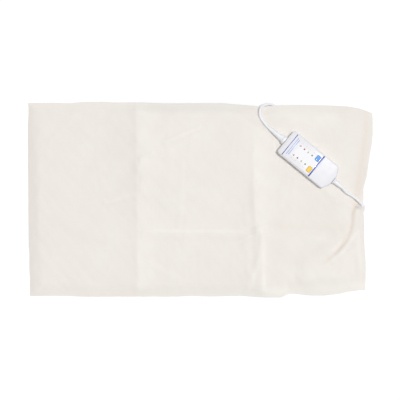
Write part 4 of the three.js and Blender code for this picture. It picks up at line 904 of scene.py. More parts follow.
def draped(low, held):
    # Cloth with a little slack, sewn at its seams, settling on the heater: how much it lifts each place
    d = drape
    picks = [np.unique(np.append(np.arange(0, n, d["every"]), n - 1)) for n in (columns, rows)]
    x, y, z, seam, mouth, kept = (v[np.ix_(*picks)] for v in (coverX, coverY, low, fromSeam, fromRight, held))
    faces = gridFaces(*z.shape)
    bed = meshPiece("drapeBed", gridPoints(x, y, z - d["room"]), faces)
    bed.modifiers.new("bed", "COLLISION")
    bed.collision.thickness_outer = d["skin"]
    bed.collision.cloth_friction = d["friction"]
    cloth = meshPiece("drapeCloth", gridPoints(x, y, z), faces)
    group = cloth.vertex_groups.new(name="sewn")
    hold = d["grip"] * smoothStep(1 - (mouth - d["mouthFrom"]) / d["mouthOver"])
    hold = np.maximum(smoothStep(1 - (seam - d["pinnedFrom"]) / d["pinned"]), hold)
    hold = np.maximum(hold, d["grip"] * kept).reshape(-1)
    for k, weight in enumerate(hold):
        if weight > d["leastGrip"]:
            group.add([k], float(weight), "REPLACE")
    modifier = cloth.modifiers.new("cloth", "CLOTH")
    settings = modifier.settings
    settings.quality = d["quality"]
    settings.mass = d["mass"]
    settings.tension_stiffness = settings.compression_stiffness = settings.shear_stiffness = d["stretch"]
    settings.bending_stiffness = d["bending"]
    settings.vertex_group_mass = "sewn"
    settings.shrink_min = -d["slack"]
    modifier.collision_settings.distance_min = d["skin"]
    modifier.point_cache.frame_start, modifier.point_cache.frame_end = 1, d["frames"]
    for number in range(1, d["frames"] + 1):
        scene.frame_set(number)
    settled = baked(cloth)
    lifts = np.array([v.co.z for v in settled.data.vertices]).reshape(z.shape) / mm - z
    removed(settled, bed)
    scene.frame_set(1)
    print("cover draped", "rise", round(float(lifts.max()), 2), "mean", round(float(np.abs(lifts).mean()), 2))
    lifts = np.clip(lifts, -d["sink"], d["rise"])
    lifts = np.stack([np.interp(shareLinesX, shareLinesX[picks[0]], line) for line in lifts.T], axis=1)
    lifts = np.stack([np.interp(shareLinesY, shareLinesY[picks[1]], line) for line in lifts])
    for _ in range(d["smoothings"]):
        padded = np.pad(lifts, 1, mode="edge")
        lifts = (padded[:-2, 1:-1] + padded[2:, 1:-1] + padded[1:-1, :-2] + padded[1:-1, 2:] + 2 * lifts) / 6
    return lifts * (1 - d["grip"] * held)


frontLow, overLead = frontLevels(coverX, coverY, fromSeam, fromRight)
frontLow = frontLow + draped(frontLow, overLead)
softly = smoothStep(fromSeam / creases["seamFade"]) * smoothStep(fromRight / creases["mouthFade"])
folds = creaseAt(coverX, coverY) + creases["base"] + creases["waveShare"] * waveAt(coverX, coverY)
frontLow = frontLow + softly * np.maximum(0, folds)
backLow = cover["backLow"] + liftAt(coverX, coverY)
coverBack = panel("coverBack", backLow, cover["thick"], finish["cloth"])
coverFront = panel("coverFront", frontLow, cover["thick"], finish["cloth"], foldShadeShare=1.0)
print("cover done", columns, rows)


# Controller: two moulded shells, a printed face, keys, lights, screws and strain reliefs
shell = dict(
    mainsEnd=62.0, tailEnd=-62.0, halfWide=28.0, corner=6.0, edge=3.0, wall=2.2, parting=10.0, partGap=0.15,
    top=22.0, slopeFrom=-20.0, tailTop=17.5, taperFrom=-50.0, tailHalf=11.0, tailBottom=2.5,
    taper=([0, 0], [.3, .08], [.62, .45], [1, 1]), leastEdge=0.8, mitre=0.6,
    arcSteps=8, cornerSteps=10, sideSteps=28, taperSteps=15,
    bossRadius=3.9, bossGap=3.4, bossFloor=1.0, screwHole=1.35, pilotDeep=6, boreTop=12,
    counterbore=2.9, counterDepth=4.0, screwAcross=21.2, screwAlong=(50.0, -42.0),
    mainsHole=5.35, padHole=3.95, leadHoles=(55, 66), cutSize=(90, 200), below=-20, above=40,
)
face = dict(
    length=78.0, width=50.0, middle=19.0, corner=2.5, low=21.6, high=22.1, recess=21.45, recessGrow=0.15, bevel=0.12,
    keyHole=(12.3, 9.3, 1.8), keyPlaces=((-13.9, -10.3), (13.9, -10.3)), ledColumns=(-11.1, 11.1),
    ledRows=(32.0, 22.13, 12.26, 2.39), ledHole=1.65, throughShell=12.2, throughSheet=18, recessTop=30,
)


def roundedRing(width, length, corner, perCorner=8):
    # A rounded rectangle, counterclockwise
    points = []
    for k, (sx, sy) in enumerate(((1, 1), (-1, 1), (-1, -1), (1, -1))):
        for a in np.linspace(0, 90, perCorner):
            turn = math.radians(90 * k + a)
            centre = sx * (width / 2 - corner), sy * (length / 2 - corner)
            points.append((centre[0] + corner * math.cos(turn), centre[1] + corner * math.sin(turn)))
    return np.array(points)


def roundRing(radius, perCorner=8):
    # A circle, as a rounded square with sides of next to nothing
    return roundedRing(2 * radius, 2 * radius, radius * 0.999, perCorner)


def atLevel(ring, level):
    return np.column_stack([ring, np.full(len(ring), level)])


def loftRings(name, rings, material=None, place=onController, strips=False):
    # A closed solid through rings of equally many points
    size = len(rings[0])
    faces, ends = ringFaces(len(rings), size)
    if strips:
        ends = []
        for base, turn in ((0, True), ((len(rings) - 1) * size, False)):
            for i in range(size // 2 - 1):
                quad = (base + i, base + i + 1, base + size - 2 - i, base + size - 1 - i)
                ends.append(quad[::-1] if turn else quad)
    return outward(meshPiece(name, place(np.concatenate(rings)), faces + ends, material))


def creased(obj, angle=32):
    obj.data.polygons.foreach_set("use_smooth", [True] * len(obj.data.polygons))
    obj.data.set_sharp_from_angle(angle=math.radians(angle))
    return obj


def joined(name, objs, material=None):
    shape = bmesh.new()
    for obj in objs:
        shape.from_mesh(obj.data)
    mesh = bpy.data.meshes.new(name)
    shape.to_mesh(mesh)
    shape.free()
    removed(*objs)
    if material:
        mesh.materials.clear()
        mesh.materials.append(material)
    return link(bpy.data.objects.new(name, mesh))


def combined(obj, tool, operation):
    modifier = obj.modifiers.new("shape", "BOOLEAN")
    modifier.object = tool
    modifier.operation = operation
    modifier.solver = "EXACT"
    baked(obj)
    removed(tool)
    return obj


def shellOutline(inset):
    # The outline seen from above, right side first, then its mirror image
    s = shell
    wide, corner, cornerV = s["halfWide"], s["corner"], s["mainsEnd"] - s["corner"]
    side = [
        (wide - corner + corner * math.cos(a), cornerV + corner * math.sin(a))
        for a in np.radians(np.linspace(90, 0, s["cornerSteps"]))
    ]
    side += [(wide, v) for v in np.linspace(cornerV, s["taperFrom"], s["sideSteps"])[1:]]
    draw, run = wide - s["tailHalf"], s["tailEnd"] - s["taperFrom"]
    side += [
        (wide - draw * float(follow(s["taper"], t)), s["taperFrom"] + t * run)
        for t in np.linspace(0, 1, s["taperSteps"])[1:]
    ]
    right = np.array(side)
    ring = np.concatenate([right, right[::-1] * (-1, 1)])
    ahead, behind = np.roll(ring, -1, axis=0) - ring, ring - np.roll(ring, 1, axis=0)
    ahead /= np.linalg.norm(ahead, axis=1)[:, None]
    behind /= np.linalg.norm(behind, axis=1)[:, None]
    normal = (ahead + behind)[:, ::-1] * (-1, 1)
    normal /= np.linalg.norm(normal, axis=1)[:, None]
    reach = 1 / np.clip((normal * (ahead[:, ::-1] * (-1, 1))).sum(axis=1), s["mitre"], 1)
    return ring - normal * (inset * reach)[:, None]


def shellTop(v):
    s = shell
    share = np.clip((s["slopeFrom"] - v) / (s["slopeFrom"] - s["tailEnd"]), 0, 1)
    return s["top"] - (s["top"] - s["tailTop"]) * share


def shellBottom(v):
    s = shell
    return s["tailBottom"] * smoothStep((s["taperFrom"] - v) / (s["taperFrom"] - s["tailEnd"]))


def shellForm(name, wall):
    edge = max(shell["edge"] - wall, shell["leastEdge"])
    rings = []
    for level, side, angles in ((shellBottom, 1, (90, 0)), (shellTop, -1, (0, 90))):
        for a in np.radians(np.linspace(*angles, shell["arcSteps"])):
            ring = shellOutline(wall + edge * (1 - math.cos(a)))
            rings.append(atLevel(ring, level(ring[:, 1]) + side * wall + side * edge * (1 - math.sin(a))))
    return loftRings(name, rings, strips=True)


def plate(name, width, length, corner, low, high, u=0, v=0, perCorner=8):
    ring = roundedRing(width, length, corner, perCorner) + (u, v)
    return loftRings(name, [atLevel(ring, w) for w in (low, high)])


def posts(name, radius, low, high, places):
    rings = [roundRing(radius, 7) + place for place in places]
    return [loftRings(name, [atLevel(ring, w) for w in (low, high)]) for ring in rings]


def lying(name, radius, fromV, toV, level):
    ring = roundRing(radius, 9)
    ends = [np.column_stack([ring[:, 0], np.full(len(ring), v), ring[:, 1] + level]) for v in (fromV, toV)]
    return loftRings(name, ends)


screwPlaces = [(side * shell["screwAcross"], v) for side in (-1, 1) for v in shell["screwAlong"]]


def faceHoles(low):
    width, length, corner = face["keyHole"]
    holes = [plate("keyHole", width, length, corner, low, shell["above"], u, v, 5) for u, v in face["keyPlaces"]]
    spots = [(u, v) for u in face["ledColumns"] for v in face["ledRows"]]
    return holes + posts("ledHole", face["ledHole"], low, shell["above"], spots)


def makeShell(name, isTop):
    s, middle = shell, shell["parting"]
    body = combined(shellForm(name, 0), shellForm("inner", s["wall"]), "DIFFERENCE")
    if isTop:
        low, high, bossSpan = middle + s["partGap"], s["above"], (middle + s["partGap"], s["top"] - s["bossGap"])
        grow = 2 * face["recessGrow"]
        bores = posts("pilot", s["screwHole"], middle - 1, middle + s["pilotDeep"], screwPlaces)
        bores.append(plate(
            "recess", face["width"] + grow, face["length"] + grow, face["corner"], face["recess"], face["recessTop"],
            0, face["middle"],
        ))
        last = faceHoles(face["throughShell"])
    else:
        low, high, bossSpan = s["below"], middle - s["partGap"], (s["bossFloor"], middle - s["partGap"])
        bores = posts("bore", s["screwHole"], s["counterDepth"] - 1, s["boreTop"], screwPlaces)
        last = posts("counter", s["counterbore"], -1, s["counterDepth"], screwPlaces)
    near, beyond = s["leadHoles"]
    holes = [lying("lead", s["mainsHole"], near, beyond, middle), lying("lead", s["padHole"], -beyond, -near, middle)]
    combined(body, plate("half", *s["cutSize"], 1, low, high), "INTERSECT")
    combined(body, joined("bosses", posts("boss", s["bossRadius"], *bossSpan, screwPlaces)), "UNION")
    combined(body, joined("holes", holes + bores), "DIFFERENCE")
    combined(body, joined("lastHoles", last), "DIFFERENCE")
    body.data.materials.clear()
    body.data.materials.append(finish["shell"])
    body.data.polygons.foreach_set("material_index", [0] * len(body.data.polygons))
    return creased(body)


housingTop = makeShell("housingTop", True)
housingBottom = makeShell("housingBottom", False)
print("housing done", len(housingTop.data.polygons), len(housingBottom.data.polygons))


def softPlate(name, width, length, corner, low, high, bevel, material, v=0.0, u=0.0):
    rings = []
    for grow, w in ((0, low), (0, high - bevel), (-bevel * 0.3, high - bevel * 0.3), (-bevel, high)):
        ring = roundedRing(width + 2 * grow, length + 2 * grow, max(corner + grow, 0.05))
        rings.append(atLevel(ring + (u, v), w))
    return loftRings(name, rings, material)


keypadOverlay = softPlate(
    "keypadOverlay", face["width"], face["length"], face["corner"], face["low"], face["high"], face["bevel"],
    finish["overlay"], face["middle"],
)
combined(keypadOverlay, joined("overlayHoles", faceHoles(face["throughSheet"])), "DIFFERENCE")
creased(keypadOverlay)

# Each printed line or rule: its place along the face, its width and its length
printed = dict(
    low=22.07, high=22.13, corner=0.2, bevel=0.02, ruleAside=1.0,
    lines=((50.5, 1.7, 51.4), (-17.7, 3.0, 51.4)), rules=((44.6, 1.5, 40.0), (40.8, 1.5, 36.0)),
)


def printedBars(name, bars, material, aside=0.0):
    p = printed
    return joined(name, [
        softPlate("bar", w, t, p["corner"], p["low"], p["high"], p["bevel"], None, v, aside) for v, t, w in bars
    ], material)


printedLines = printedBars("printedLines", printed["lines"], finish["printBlue"])
printedRules = printedBars("printedRules", printed["rules"], finish["printPale"], printed["ruleAside"])

numerals = dict(tall=3.0, column=18.2, low=22.08, deep=0.03, curveSteps=4, marks=("3", "2", "1", "0"))


def makeNumeral(text, u, v):
    # A plain number printed on the face
    curve = bpy.data.curves.new("numeral", "FONT")
    curve.body = text
    curve.size = numerals["tall"]
    curve.extrude = numerals["deep"]
    curve.align_x = curve.align_y = "CENTER"
    curve.resolution_u = numerals["curveSteps"]
    flatText = baked(link(bpy.data.objects.new("numeral", curve)))
    points = np.array([vertex.co for vertex in flatText.data.vertices]) + (u, v, numerals["low"])
    flatText.data.vertices.foreach_set("co", onController(points).astype(np.float32).ravel())
    return outward(flatText)


printedNumerals = joined("printedNumerals", [
    makeNumeral(mark, side * numerals["column"], v)
    for side in (-1, 1) for mark, v in zip(numerals["marks"], face["ledRows"])
], finish["printGrey"])

keyCap = dict(
    width=11.6, length=8.6, corner=1.8, top=23.2, edge=0.9, dish=0.14, flange=1.0, flangeLow=18.45, flangeHigh=19.65,
    stem=1.5, stemLow=14.75, arc=(15, 90, 6), dishRun=(0.9, 2.0), dishShare=0.6, cornerGrow=0.6, leastCorner=0.4,
)


def makeKey(name, place, material):
    k = keyCap
    edge, top = k["edge"], k["top"]
    stages = [(k["flange"], k["flangeLow"]), (k["flange"], k["flangeHigh"]), (0, k["flangeHigh"]), (0, top - edge)]
    for a in np.radians(np.linspace(*k["arc"])):
        stages.append((-edge * (1 - math.cos(a)), top - edge * (1 - math.sin(a))))
    stages += [(-edge - k["dishRun"][0], top - k["dish"] * k["dishShare"]), (-edge - k["dishRun"][1], top - k["dish"])]
    rings = [atLevel(roundRing(k["stem"]) + place, w) for w in (k["stemLow"], k["flangeLow"])]
    for grow, w in stages:
        corner = max(k["corner"] + k["cornerGrow"] * grow, k["leastCorner"])
        rings.append(atLevel(roundedRing(k["width"] + 2 * grow, k["length"] + 2 * grow, corner) + place, w))
    return creased(loftRings(name, rings, material), 40)


yellowKeyCap = makeKey("yellowKeyCap", face["keyPlaces"][0], finish["yellow"])
blueKeyCap = makeKey("blueKeyCap", face["keyPlaces"][1], finish["blue"])


# Geometry Nodes: small trees for what repeats
def treeOf(name, inputs):
    tree = bpy.data.node_groups.new(name, "GeometryNodeTree")
    tree.interface.new_socket("Geometry", in_out="INPUT", socket_type="NodeSocketGeometry")
    for label, default in inputs.items():
        kind = "NodeSocketInt" if isinstance(default, int) else "NodeSocketFloat"
        tree.interface.new_socket(label, in_out="INPUT", socket_type=kind).default_value = default
    tree.interface.new_socket("Geometry", in_out="OUTPUT", socket_type="NodeSocketGeometry")
    return tree, addNode(tree, "NodeGroupInput"), addNode(tree, "NodeGroupOutput")


def grown(name, tree, values, base=None):
    # A new piece made by the tree, then left as a plain mesh
    obj = link(bpy.data.objects.new(name, base or bpy.data.meshes.new(name)))
    modifier = obj.modifiers.new("repeat", "NODES")
    modifier.node_group = tree
    ids = {item.name: item.identifier for item in tree.interface.items_tree if item.in_out == "INPUT"}
    for label, value in values.items():
        modifier[ids[label]] = value
    return baked(obj)


def ended(tree, geometry, material, output):
    real = addNode(tree, "GeometryNodeRealizeInstances", {0: geometry})
    painted = addNode(tree, "GeometryNodeSetMaterial", {"Geometry": real.outputs[0], "Material": material})
    tree.links.new(painted.outputs[0], output.inputs[0])


def placed(obj):
    points = np.array([v.co for v in obj.data.vertices])
    obj.data.vertices.foreach_set("co", onController(points).astype(np.float32).ravel())
    obj.data.update()
    return outward(obj)


def vectorOf(tree, **axes):
    values = {"xyz".index(axis): value for axis, value in axes.items()}
    return addNode(tree, "ShaderNodeCombineXYZ", values).outputs[0]


def raised(tree, geometry, level, **more):
    place = {"Geometry": geometry, "Translation": vectorOf(tree, z=level)}
    return addNode(tree, "GeometryNodeTransform", {**place, **more}).outputs[0]


def atPoints(tree, given, parts):
    # The parts together, at every point of the mesh that the tree is given
    whole = addNode(tree, "GeometryNodeJoinGeometry")
    for part in parts:
        tree.links.new(part, whole.inputs[0])
    points = addNode(tree, "GeometryNodeMeshToPoints", {"Mesh": given.outputs["Geometry"]}).outputs[0]
    return addNode(tree, "GeometryNodeInstanceOnPoints", {"Points": points, "Instance": whole.outputs[0]}).outputs[0]


light = dict(
    radius=1.5, body=5.2, top=22.5, sides=28, rings=14, dome=0.62, squash=0.41, flangeGrow=0.25, flangeTall=0.8,
    flangeDrop=5.2,
)


def ledTree(material):
    # Round lights in rows: a body, a domed lens and a flange below the face
    tree, given, output = treeOf("indicatorLights", {
        "Radius": light["radius"], "Body": light["body"], "Top": light["top"],
    })
    radius, body, top = (given.outputs[k] for k in ("Radius", "Body", "Top"))
    sides = {"Vertices": light["sides"], "Side Segments": 1}
    tube = addNode(tree, "GeometryNodeMeshCylinder", {**sides, "Radius": radius, "Depth": body})
    middle = math2(tree, "SUBTRACT", top, math2(tree, "MULTIPLY", body, 0.5))
    dome = addNode(tree, "GeometryNodeMeshUVSphere", {
        "Segments": light["sides"], "Rings": light["rings"], "Radius": radius,
    })
    wider = math2(tree, "ADD", radius, light["flangeGrow"])
    flange = addNode(tree, "GeometryNodeMeshCylinder", {**sides, "Radius": wider, "Depth": light["flangeTall"]})
    spots = atPoints(tree, given, (
        raised(tree, tube.outputs["Mesh"], math2(tree, "SUBTRACT", middle, light["dome"])),
        raised(tree, dome.outputs["Mesh"], math2(tree, "SUBTRACT", top, light["dome"]), Scale=(1, 1, light["squash"])),
        raised(tree, flange.outputs["Mesh"], math2(tree, "SUBTRACT", top, light["flangeDrop"])),
    ))
    ended(tree, spots, material, output)
    return tree


def pointsMesh(name, points, edges=()):
    mesh = bpy.data.meshes.new(name)
    mesh.from_pydata([tuple(p) for p in points], list(edges), [])
    return mesh


lights = {}
for colour, rowNumbers in (("red", (0, 1)), ("amber", (2,)), ("green", (3,))):
    spots = [(u, face["ledRows"][n], 0) for u in face["ledColumns"] for n in rowNumbers]
    made = grown(f"{colour}Lights", ledTree(finish[colour]), {}, pointsMesh(colour, spots))
    lights[colour] = creased(placed(made), 40)


screw = dict(
    head=2.5, headTall=1.7, shaft=10.8, low=2.1, headSides=32, headSteps=4, headTaper=0.82, slotLong=3.2, slotWide=0.6,
    slotTall=1.6, rodSides=16, rod=1.15,
)


def screwTree(material):
    # Case screws: a low head with a crossed slot, seen from below, and a shaft
    tree, given, output = treeOf("caseScrews", {
        "Head Radius": screw["head"], "Head Height": screw["headTall"], "Shaft": screw["shaft"],
    })
    radius, tall, shaft = (given.outputs[k] for k in ("Head Radius", "Head Height", "Shaft"))
    head = addNode(tree, "GeometryNodeMeshCone", {
        "Vertices": screw["headSides"], "Side Segments": screw["headSteps"], "Radius Top": radius, "Depth": tall,
        "Radius Bottom": math2(tree, "MULTIPLY", radius, screw["headTaper"]),
    })
    cut = addNode(tree, "GeometryNodeMeshBoolean", operation="DIFFERENCE")
    tree.links.new(head.outputs["Mesh"], cut.inputs["Mesh 1"])
    for x, y in ((screw["slotLong"], screw["slotWide"]), (screw["slotWide"], screw["slotLong"])):
        slot = addNode(tree, "GeometryNodeMeshCube", {"Size": (x, y, screw["slotTall"])})
        tree.links.new(slot.outputs["Mesh"], cut.inputs["Mesh 2"])
    rod = addNode(tree, "GeometryNodeMeshCylinder", {
        "Vertices": screw["rodSides"], "Radius": screw["rod"], "Depth": shaft,
    })
    rodLevel = math2(tree, "ADD", tall, math2(tree, "MULTIPLY", shaft, 0.5))
    screws = atPoints(tree, given, (cut.outputs["Mesh"], raised(tree, rod.outputs["Mesh"], rodLevel)))
    ended(tree, screws, material, output)
    return tree


screwSpots = pointsMesh("screws", [(u, v, screw["low"]) for u, v in screwPlaces])
caseScrews = creased(placed(grown("caseScrews", screwTree(finish["steel"]), {}, screwSpots)), 30)

reliefs = dict(
    mains=dict(end=1, flange=6.2, neck=5.2, collar=9.0, collarLong=6.0, sleeve=34.0, root=6.6, tip=3.9, ribs=6),
    pad=dict(end=-1, flange=5.0, neck=3.8, collar=7.4, collarLong=3.0, sleeve=15.0, root=4.9, tip=3.8, ribs=4),
    both=dict(
        bore=3.05, flangeFrom=4.5, flangeTo=2.5, gap=0.3, axis=0.01, sides=40, flare=(0.15, 0.3),
        collarStart=((0.3, 1.2), (0.65, 0.35), (1.5, 0)), collarStop=((1.6, 0), (0.6, 0.45), (0, 1.5)),
        taperFrom=0.04, taperSteps=18, taperPower=0.85, lip=0.1, lipDeep=1.2,
        ribSides=36, ribProfile=10, ribThin=0.14, ribSquash=3.6, ribThick=0.5, ribShare=0.9, ribStart=0.55,
    ),
)


def ribTree(material, r):
    # Rings round a tapering sleeve
    tree, given, output = treeOf("sleeveRibs", {
        "Count": 6, "From": 70.0, "Step": 5.0, "Root Radius": 6.0, "Radius Step": -0.4, "Thick": 0.9,
    })
    line = addNode(tree, "GeometryNodeMeshLine", {
        "Count": given.outputs["Count"], "Start Location": vectorOf(tree, y=given.outputs["From"], z=shell["parting"]),
        "Offset": vectorOf(tree, y=given.outputs["Step"]),
    })
    ring, profile = (
        addNode(tree, "GeometryNodeCurvePrimitiveCircle", {"Resolution": sides, "Radius": radius}).outputs[0]
        for sides, radius in ((r["ribSides"], 1.0), (r["ribProfile"], r["ribThin"]))
    )
    tube = addNode(tree, "GeometryNodeCurveToMesh", {"Curve": ring, "Profile Curve": profile})
    number = addNode(tree, "GeometryNodeInputIndex")
    smaller = math2(tree, "MULTIPLY", number.outputs[0], given.outputs["Radius Step"])
    radius = math2(tree, "ADD", smaller, given.outputs["Root Radius"])
    thick = math2(tree, "MULTIPLY", given.outputs["Thick"], r["ribSquash"])
    rings = addNode(tree, "GeometryNodeInstanceOnPoints", {
        "Points": line.outputs[0], "Instance": tube.outputs[0], "Rotation": (math.pi / 2, 0, 0),
        "Scale": vectorOf(tree, x=radius, y=radius, z=thick),
    })
    ended(tree, rings.outputs[0], material, output)
    return tree


def makeRelief(name, r):
    r = dict(reliefs["both"], **r)
    start, gap = shell["mainsEnd"], r["gap"]
    collarEnd = start + gap + r["collarLong"]
    tipEnd = collarEnd + r["sleeve"]
    profile = [
        (start - r["flangeFrom"], r["axis"]), (start - r["flangeFrom"], r["flange"]),
        (start - r["flangeTo"], r["flange"]), (start - r["flangeTo"], r["neck"]), (start + gap, r["neck"]),
        *((start + along, r["collar"] - less) for along, less in r["collarStart"]),
        *((collarEnd - along, r["collar"] - less) for along, less in r["collarStop"]),
        (collarEnd + r["flare"][0], r["root"] + r["flare"][1]),
    ]
    narrower, lipEnd = r["tip"] - r["root"], tipEnd - r["lipDeep"]
    for t in np.linspace(r["taperFrom"], 1, r["taperSteps"]):
        profile.append((collarEnd + t * r["sleeve"], r["root"] + narrower * t ** r["taperPower"]))
    profile += [(tipEnd, r["bore"] + r["lip"]), (lipEnd, r["bore"]), (lipEnd, r["axis"])]
    turn = 2 * np.pi * np.arange(r["sides"]) / r["sides"]
    rings = [np.column_stack([
        radius * np.cos(turn), np.full(r["sides"], r["end"] * along), radius * np.sin(turn) + shell["parting"],
    ]) for along, radius in profile]
    sleeve = loftRings(name, rings, finish["grip"])
    step = r["sleeve"] * r["ribShare"] / r["ribs"]
    ribs = grown(name + "Ribs", ribTree(finish["grip"], r), {
        "Count": r["ribs"], "From": r["end"] * (collarEnd + step * r["ribStart"]), "Step": r["end"] * step,
        "Root Radius": r["root"] * r["ribShare"], "Radius Step": narrower * r["ribShare"] / r["ribs"],
        "Thick": r["ribThick"],
    })
    return creased(joined(name, [sleeve, placed(ribs)], finish["grip"]), 40)


mainsRelief = makeRelief("mainsRelief", reliefs["mains"])
padRelief = makeRelief("padRelief", reliefs["pad"])

# The plug, with its stages: the share of its length from the rear, and how far that ring is drawn in
plug = dict(
    x=-55.0, rear=140.0, front=96.0, level=6.3, width=24.0, thick=12.4, tailWidth=9.0, sides=48, power=0.62,
    shares=([0, 0], [.12, .06], [.27, .2], [.45, .72], [.62, .97], [.75, 1], [1, .985]),
    rearStages=((0, 1.6), (0, 0.8), (0.01, 0.3), (0.03, 0)), middleStages=(0.06, 0.95, 26),
    frontStages=((0.975, 0.12), (0.99, 0.5), (1, 1.1)),
    grooves=5, grooveFrom=0.36, grooveStep=0.07, grooveDeep=0.45, grooveWide=0.014,
)


def onTable(points):
    return np.asarray(points, float) * mm


def plugRing(share, inset):
    p = plug
    y = p["rear"] - share * (p["rear"] - p["front"])
    full = float(follow(p["shares"], share))
    wide, tall = (p["tailWidth"] + (p[size] - p["tailWidth"]) * full - 2 * inset for size in ("width", "thick"))
    turn = 2 * np.pi * (np.arange(p["sides"]) + 0.5) / p["sides"]
    across, up = (np.sign(f(turn)) * np.abs(f(turn)) ** p["power"] for f in (np.cos, np.sin))
    return np.column_stack([p["x"] + across * wide / 2, np.full(p["sides"], y), p["level"] + up * tall / 2])


def makePlug(name):
    p = plug
    grooves = [p["grooveFrom"] + p["grooveStep"] * k for k in range(p["grooves"])]
    rings = []
    for share, inset in (*p["rearStages"], *((t, 0) for t in np.linspace(*p["middleStages"])), *p["frontStages"]):
        dent = sum(p["grooveDeep"] * math.exp(-(((share - g) / p["grooveWide"]) ** 2)) for g in grooves)
        rings.append(plugRing(share, inset + dent))
    return creased(loftRings(name, rings, finish["grip"], onTable), 40)


plugCase = makePlug("plugCase")
print("controller done")


# Stitches: rows of thread sunk in the hem at the open end and along the sewn edges
stitch = dict(
    pitch=3.4, long=2.5, thick=0.42, sunk=0.10, yaw=0.10, seed=7, sides=8, rings=6, dropFrom=0.2,
    hemSpan=(22, 26), hemPoints=260, hemInside=1.5, seamSpan=(14, 22), seamPoints=420, seamInside=6.5,
)


def stitchTree(material):
    tree, given, output = treeOf("stitchRow", {
        "Pitch": 0.0034, "Long": 0.0025, "Thick": 0.0004, "Yaw": stitch["yaw"], "Seed": stitch["seed"],
    })
    row = addNode(tree, "GeometryNodeMeshToCurve", {"Mesh": given.outputs["Geometry"]})
    even = addNode(
        tree, "GeometryNodeResampleCurve", {"Curve": row.outputs[0], "Length": given.outputs["Pitch"]}, mode="LENGTH",
    )
    tangent = addNode(tree, "GeometryNodeInputTangent")
    aligned = addNode(tree, "FunctionNodeAlignEulerToVector", {"Vector": tangent.outputs[0]}, axis="X")
    spin = addNode(tree, "FunctionNodeRandomValue", {"Seed": given.outputs["Seed"]}, data_type="FLOAT")
    tree.links.new(math2(tree, "MULTIPLY", given.outputs["Yaw"], -1.0), spin.inputs[2])
    tree.links.new(given.outputs["Yaw"], spin.inputs[3])
    yaw = vectorOf(tree, z=spin.outputs[1])
    turned = addNode(tree, "FunctionNodeRotateEuler", {"Rotation": aligned.outputs[0], "Rotate By": yaw})
    thread = addNode(tree, "GeometryNodeMeshUVSphere", {
        "Segments": stitch["sides"], "Rings": stitch["rings"], "Radius": 0.5,
    })
    threads = addNode(tree, "GeometryNodeInstanceOnPoints", {
        "Points": even.outputs[0], "Instance": thread.outputs[0], "Rotation": turned.outputs[0],
        "Scale": vectorOf(tree, x=given.outputs["Long"], y=given.outputs["Thick"], z=given.outputs["Thick"]),
    })
    ended(tree, threads.outputs[0], material, output)
    return tree


def seatedRow(name, plan, surfaceTree, sign):
    # A line of points dropped on the cloth
    points = []
    for x, y in plan:
        hit = surfaceTree.ray_cast(Vector((x * mm, y * mm, stitch["dropFrom"] * sign)), Vector((0, 0, -sign)))[0]
        if hit is not None:
            points.append((hit.x, hit.y, hit.z - sign * stitch["sunk"] * mm))
    return pointsMesh(name, points, [(k, k + 1) for k in range(len(points) - 1)])


def inwardLines():
    # Stitch lines in plan: beside the open end, and just inside the top and bottom seams
    s = stitch
    ys = np.linspace(-halfWidth + s["hemSpan"][0], halfWidth - s["hemSpan"][1], s["hemPoints"])
    xs = np.linspace(-halfLength + s["seamSpan"][0], halfLength - s["seamSpan"][1], s["seamPoints"])
    return {
        "hem": [(float(rightEdge(y)) - cover["rimWide"] - s["hemInside"], y) for y in ys],
        "top": [(x, float(topEdge(x)) - s["seamInside"]) for x in xs],
        "bottom": [(x, float(bottomEdge(x)) + s["seamInside"]) for x in xs],
    }


stitchRows = {}
sewing = stitchTree(finish["thread"])
for panelName, panelObject, sign in (("front", coverFront, 1), ("back", coverBack, -1)):
    shape = bmesh.new()
    shape.from_mesh(panelObject.data)
    surfaceTree = BVHTree.FromBMesh(shape)
    shape.free()
    made = []
    for rowName, plan in inwardLines().items():
        row = seatedRow(f"{panelName}{rowName}", plan, surfaceTree, sign)
        made.append(grown(f"{panelName}{rowName}Stitches", sewing, {
            "Pitch": stitch["pitch"] * mm, "Long": stitch["long"] * mm, "Thick": stitch["thick"] * mm,
            "Yaw": stitch["yaw"], "Seed": stitch["seed"],
        }, row))
    stitchRows[panelName] = creased(joined(f"{panelName}Stitches", made, finish["thread"]), 80)
print("stitches done")


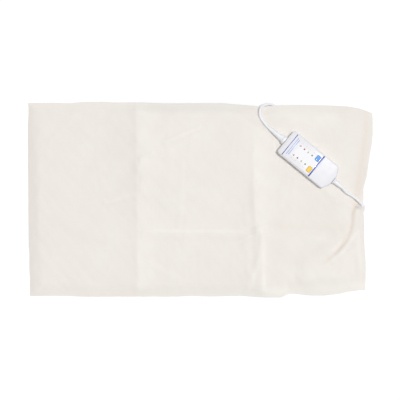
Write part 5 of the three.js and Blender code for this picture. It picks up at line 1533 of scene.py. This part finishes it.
# Finishes of the nodes that stay
nodeFinish = {
    "board": ["circuit_board"], "black": ["microcontroller", "triac", "key_switch_yellow", "key_switch_blue"],
    "button": ["switch_plunger_yellow", "switch_plunger_blue", "thermal_cutout_left", "thermal_cutout_right"],
    "film": ["dropper_capacitor"], "can": ["smoothing_capacitor"], "fuse": ["fuse"], "grip": ["lead_entry_block"],
    "wire": [
        "mains_conductor_live", "mains_conductor_neutral", "heater_conductor_1", "heater_conductor_2",
        "sensor_conductor_1", "sensor_conductor_2",
    ],
    "brass": ["plug_blade_live", "plug_blade_neutral"],
}
for kind, nodes in nodeFinish.items():
    for node in nodes:
        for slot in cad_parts[node].material_slots:
            slot.material = finish[kind]

# Pieces: each one's slot, then the nodes that it stands for; all but the keys ride on the root body
keyBodies = {"yellowKeyCap": "yellow_key", "blueKeyCap": "blue_key"}
riding = [
    (mainsCord, "cord", "mains_lead", "mains_lead_coil", "plug_lead"),
    (padCord, "cord", "pad_lead"),
    (vinylBack, "vinyl", "heater_envelope_back"),
    (vinylFront, "vinyl", "heater_envelope_front"),
    (layers["foamLayer"], "foam", "foam_layer"),
    (layers["carrierCloth"], "carrier", "element_carrier"),
    (heatingWire, "wire_jacket", "heating_wire"),
    (coverBack, "cover_cloth", "cover_back"),
    (coverFront, "cover_cloth", "cover_front"),
    (housingTop, "shell", "housing_top"),
    (housingBottom, "shell", "housing_bottom"),
    (keypadOverlay, "overlay", "keypad_overlay"),
    (printedLines, "overlay"),
    (printedRules, "overlay"),
    (printedNumerals, "overlay"),
    (yellowKeyCap, "key_yellow", "key_yellow"),
    (blueKeyCap, "key_blue", "key_blue"),
    (lights["red"], "led_red", "led_left_1", "led_left_2", "led_right_1", "led_right_2"),
    (lights["amber"], "led_amber", "led_left_3", "led_right_3"),
    (lights["green"], "led_green", "led_left_4", "led_right_4"),
    (caseScrews, "screw_steel", "case_screw_1", "case_screw_2", "case_screw_3", "case_screw_4"),
    (mainsRelief, "cord", "strain_relief_mains"),
    (padRelief, "cord", "strain_relief_pad"),
    (plugCase, "cord", "plug_body"),
    (stitchRows["front"], "cover_cloth"),
    (stitchRows["back"], "cover_cloth"),
]
for piece, slotName, *nodes in riding:
    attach(piece, keyBodies.get(piece.name, rootBody))
    if nodes:
        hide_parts(*nodes)
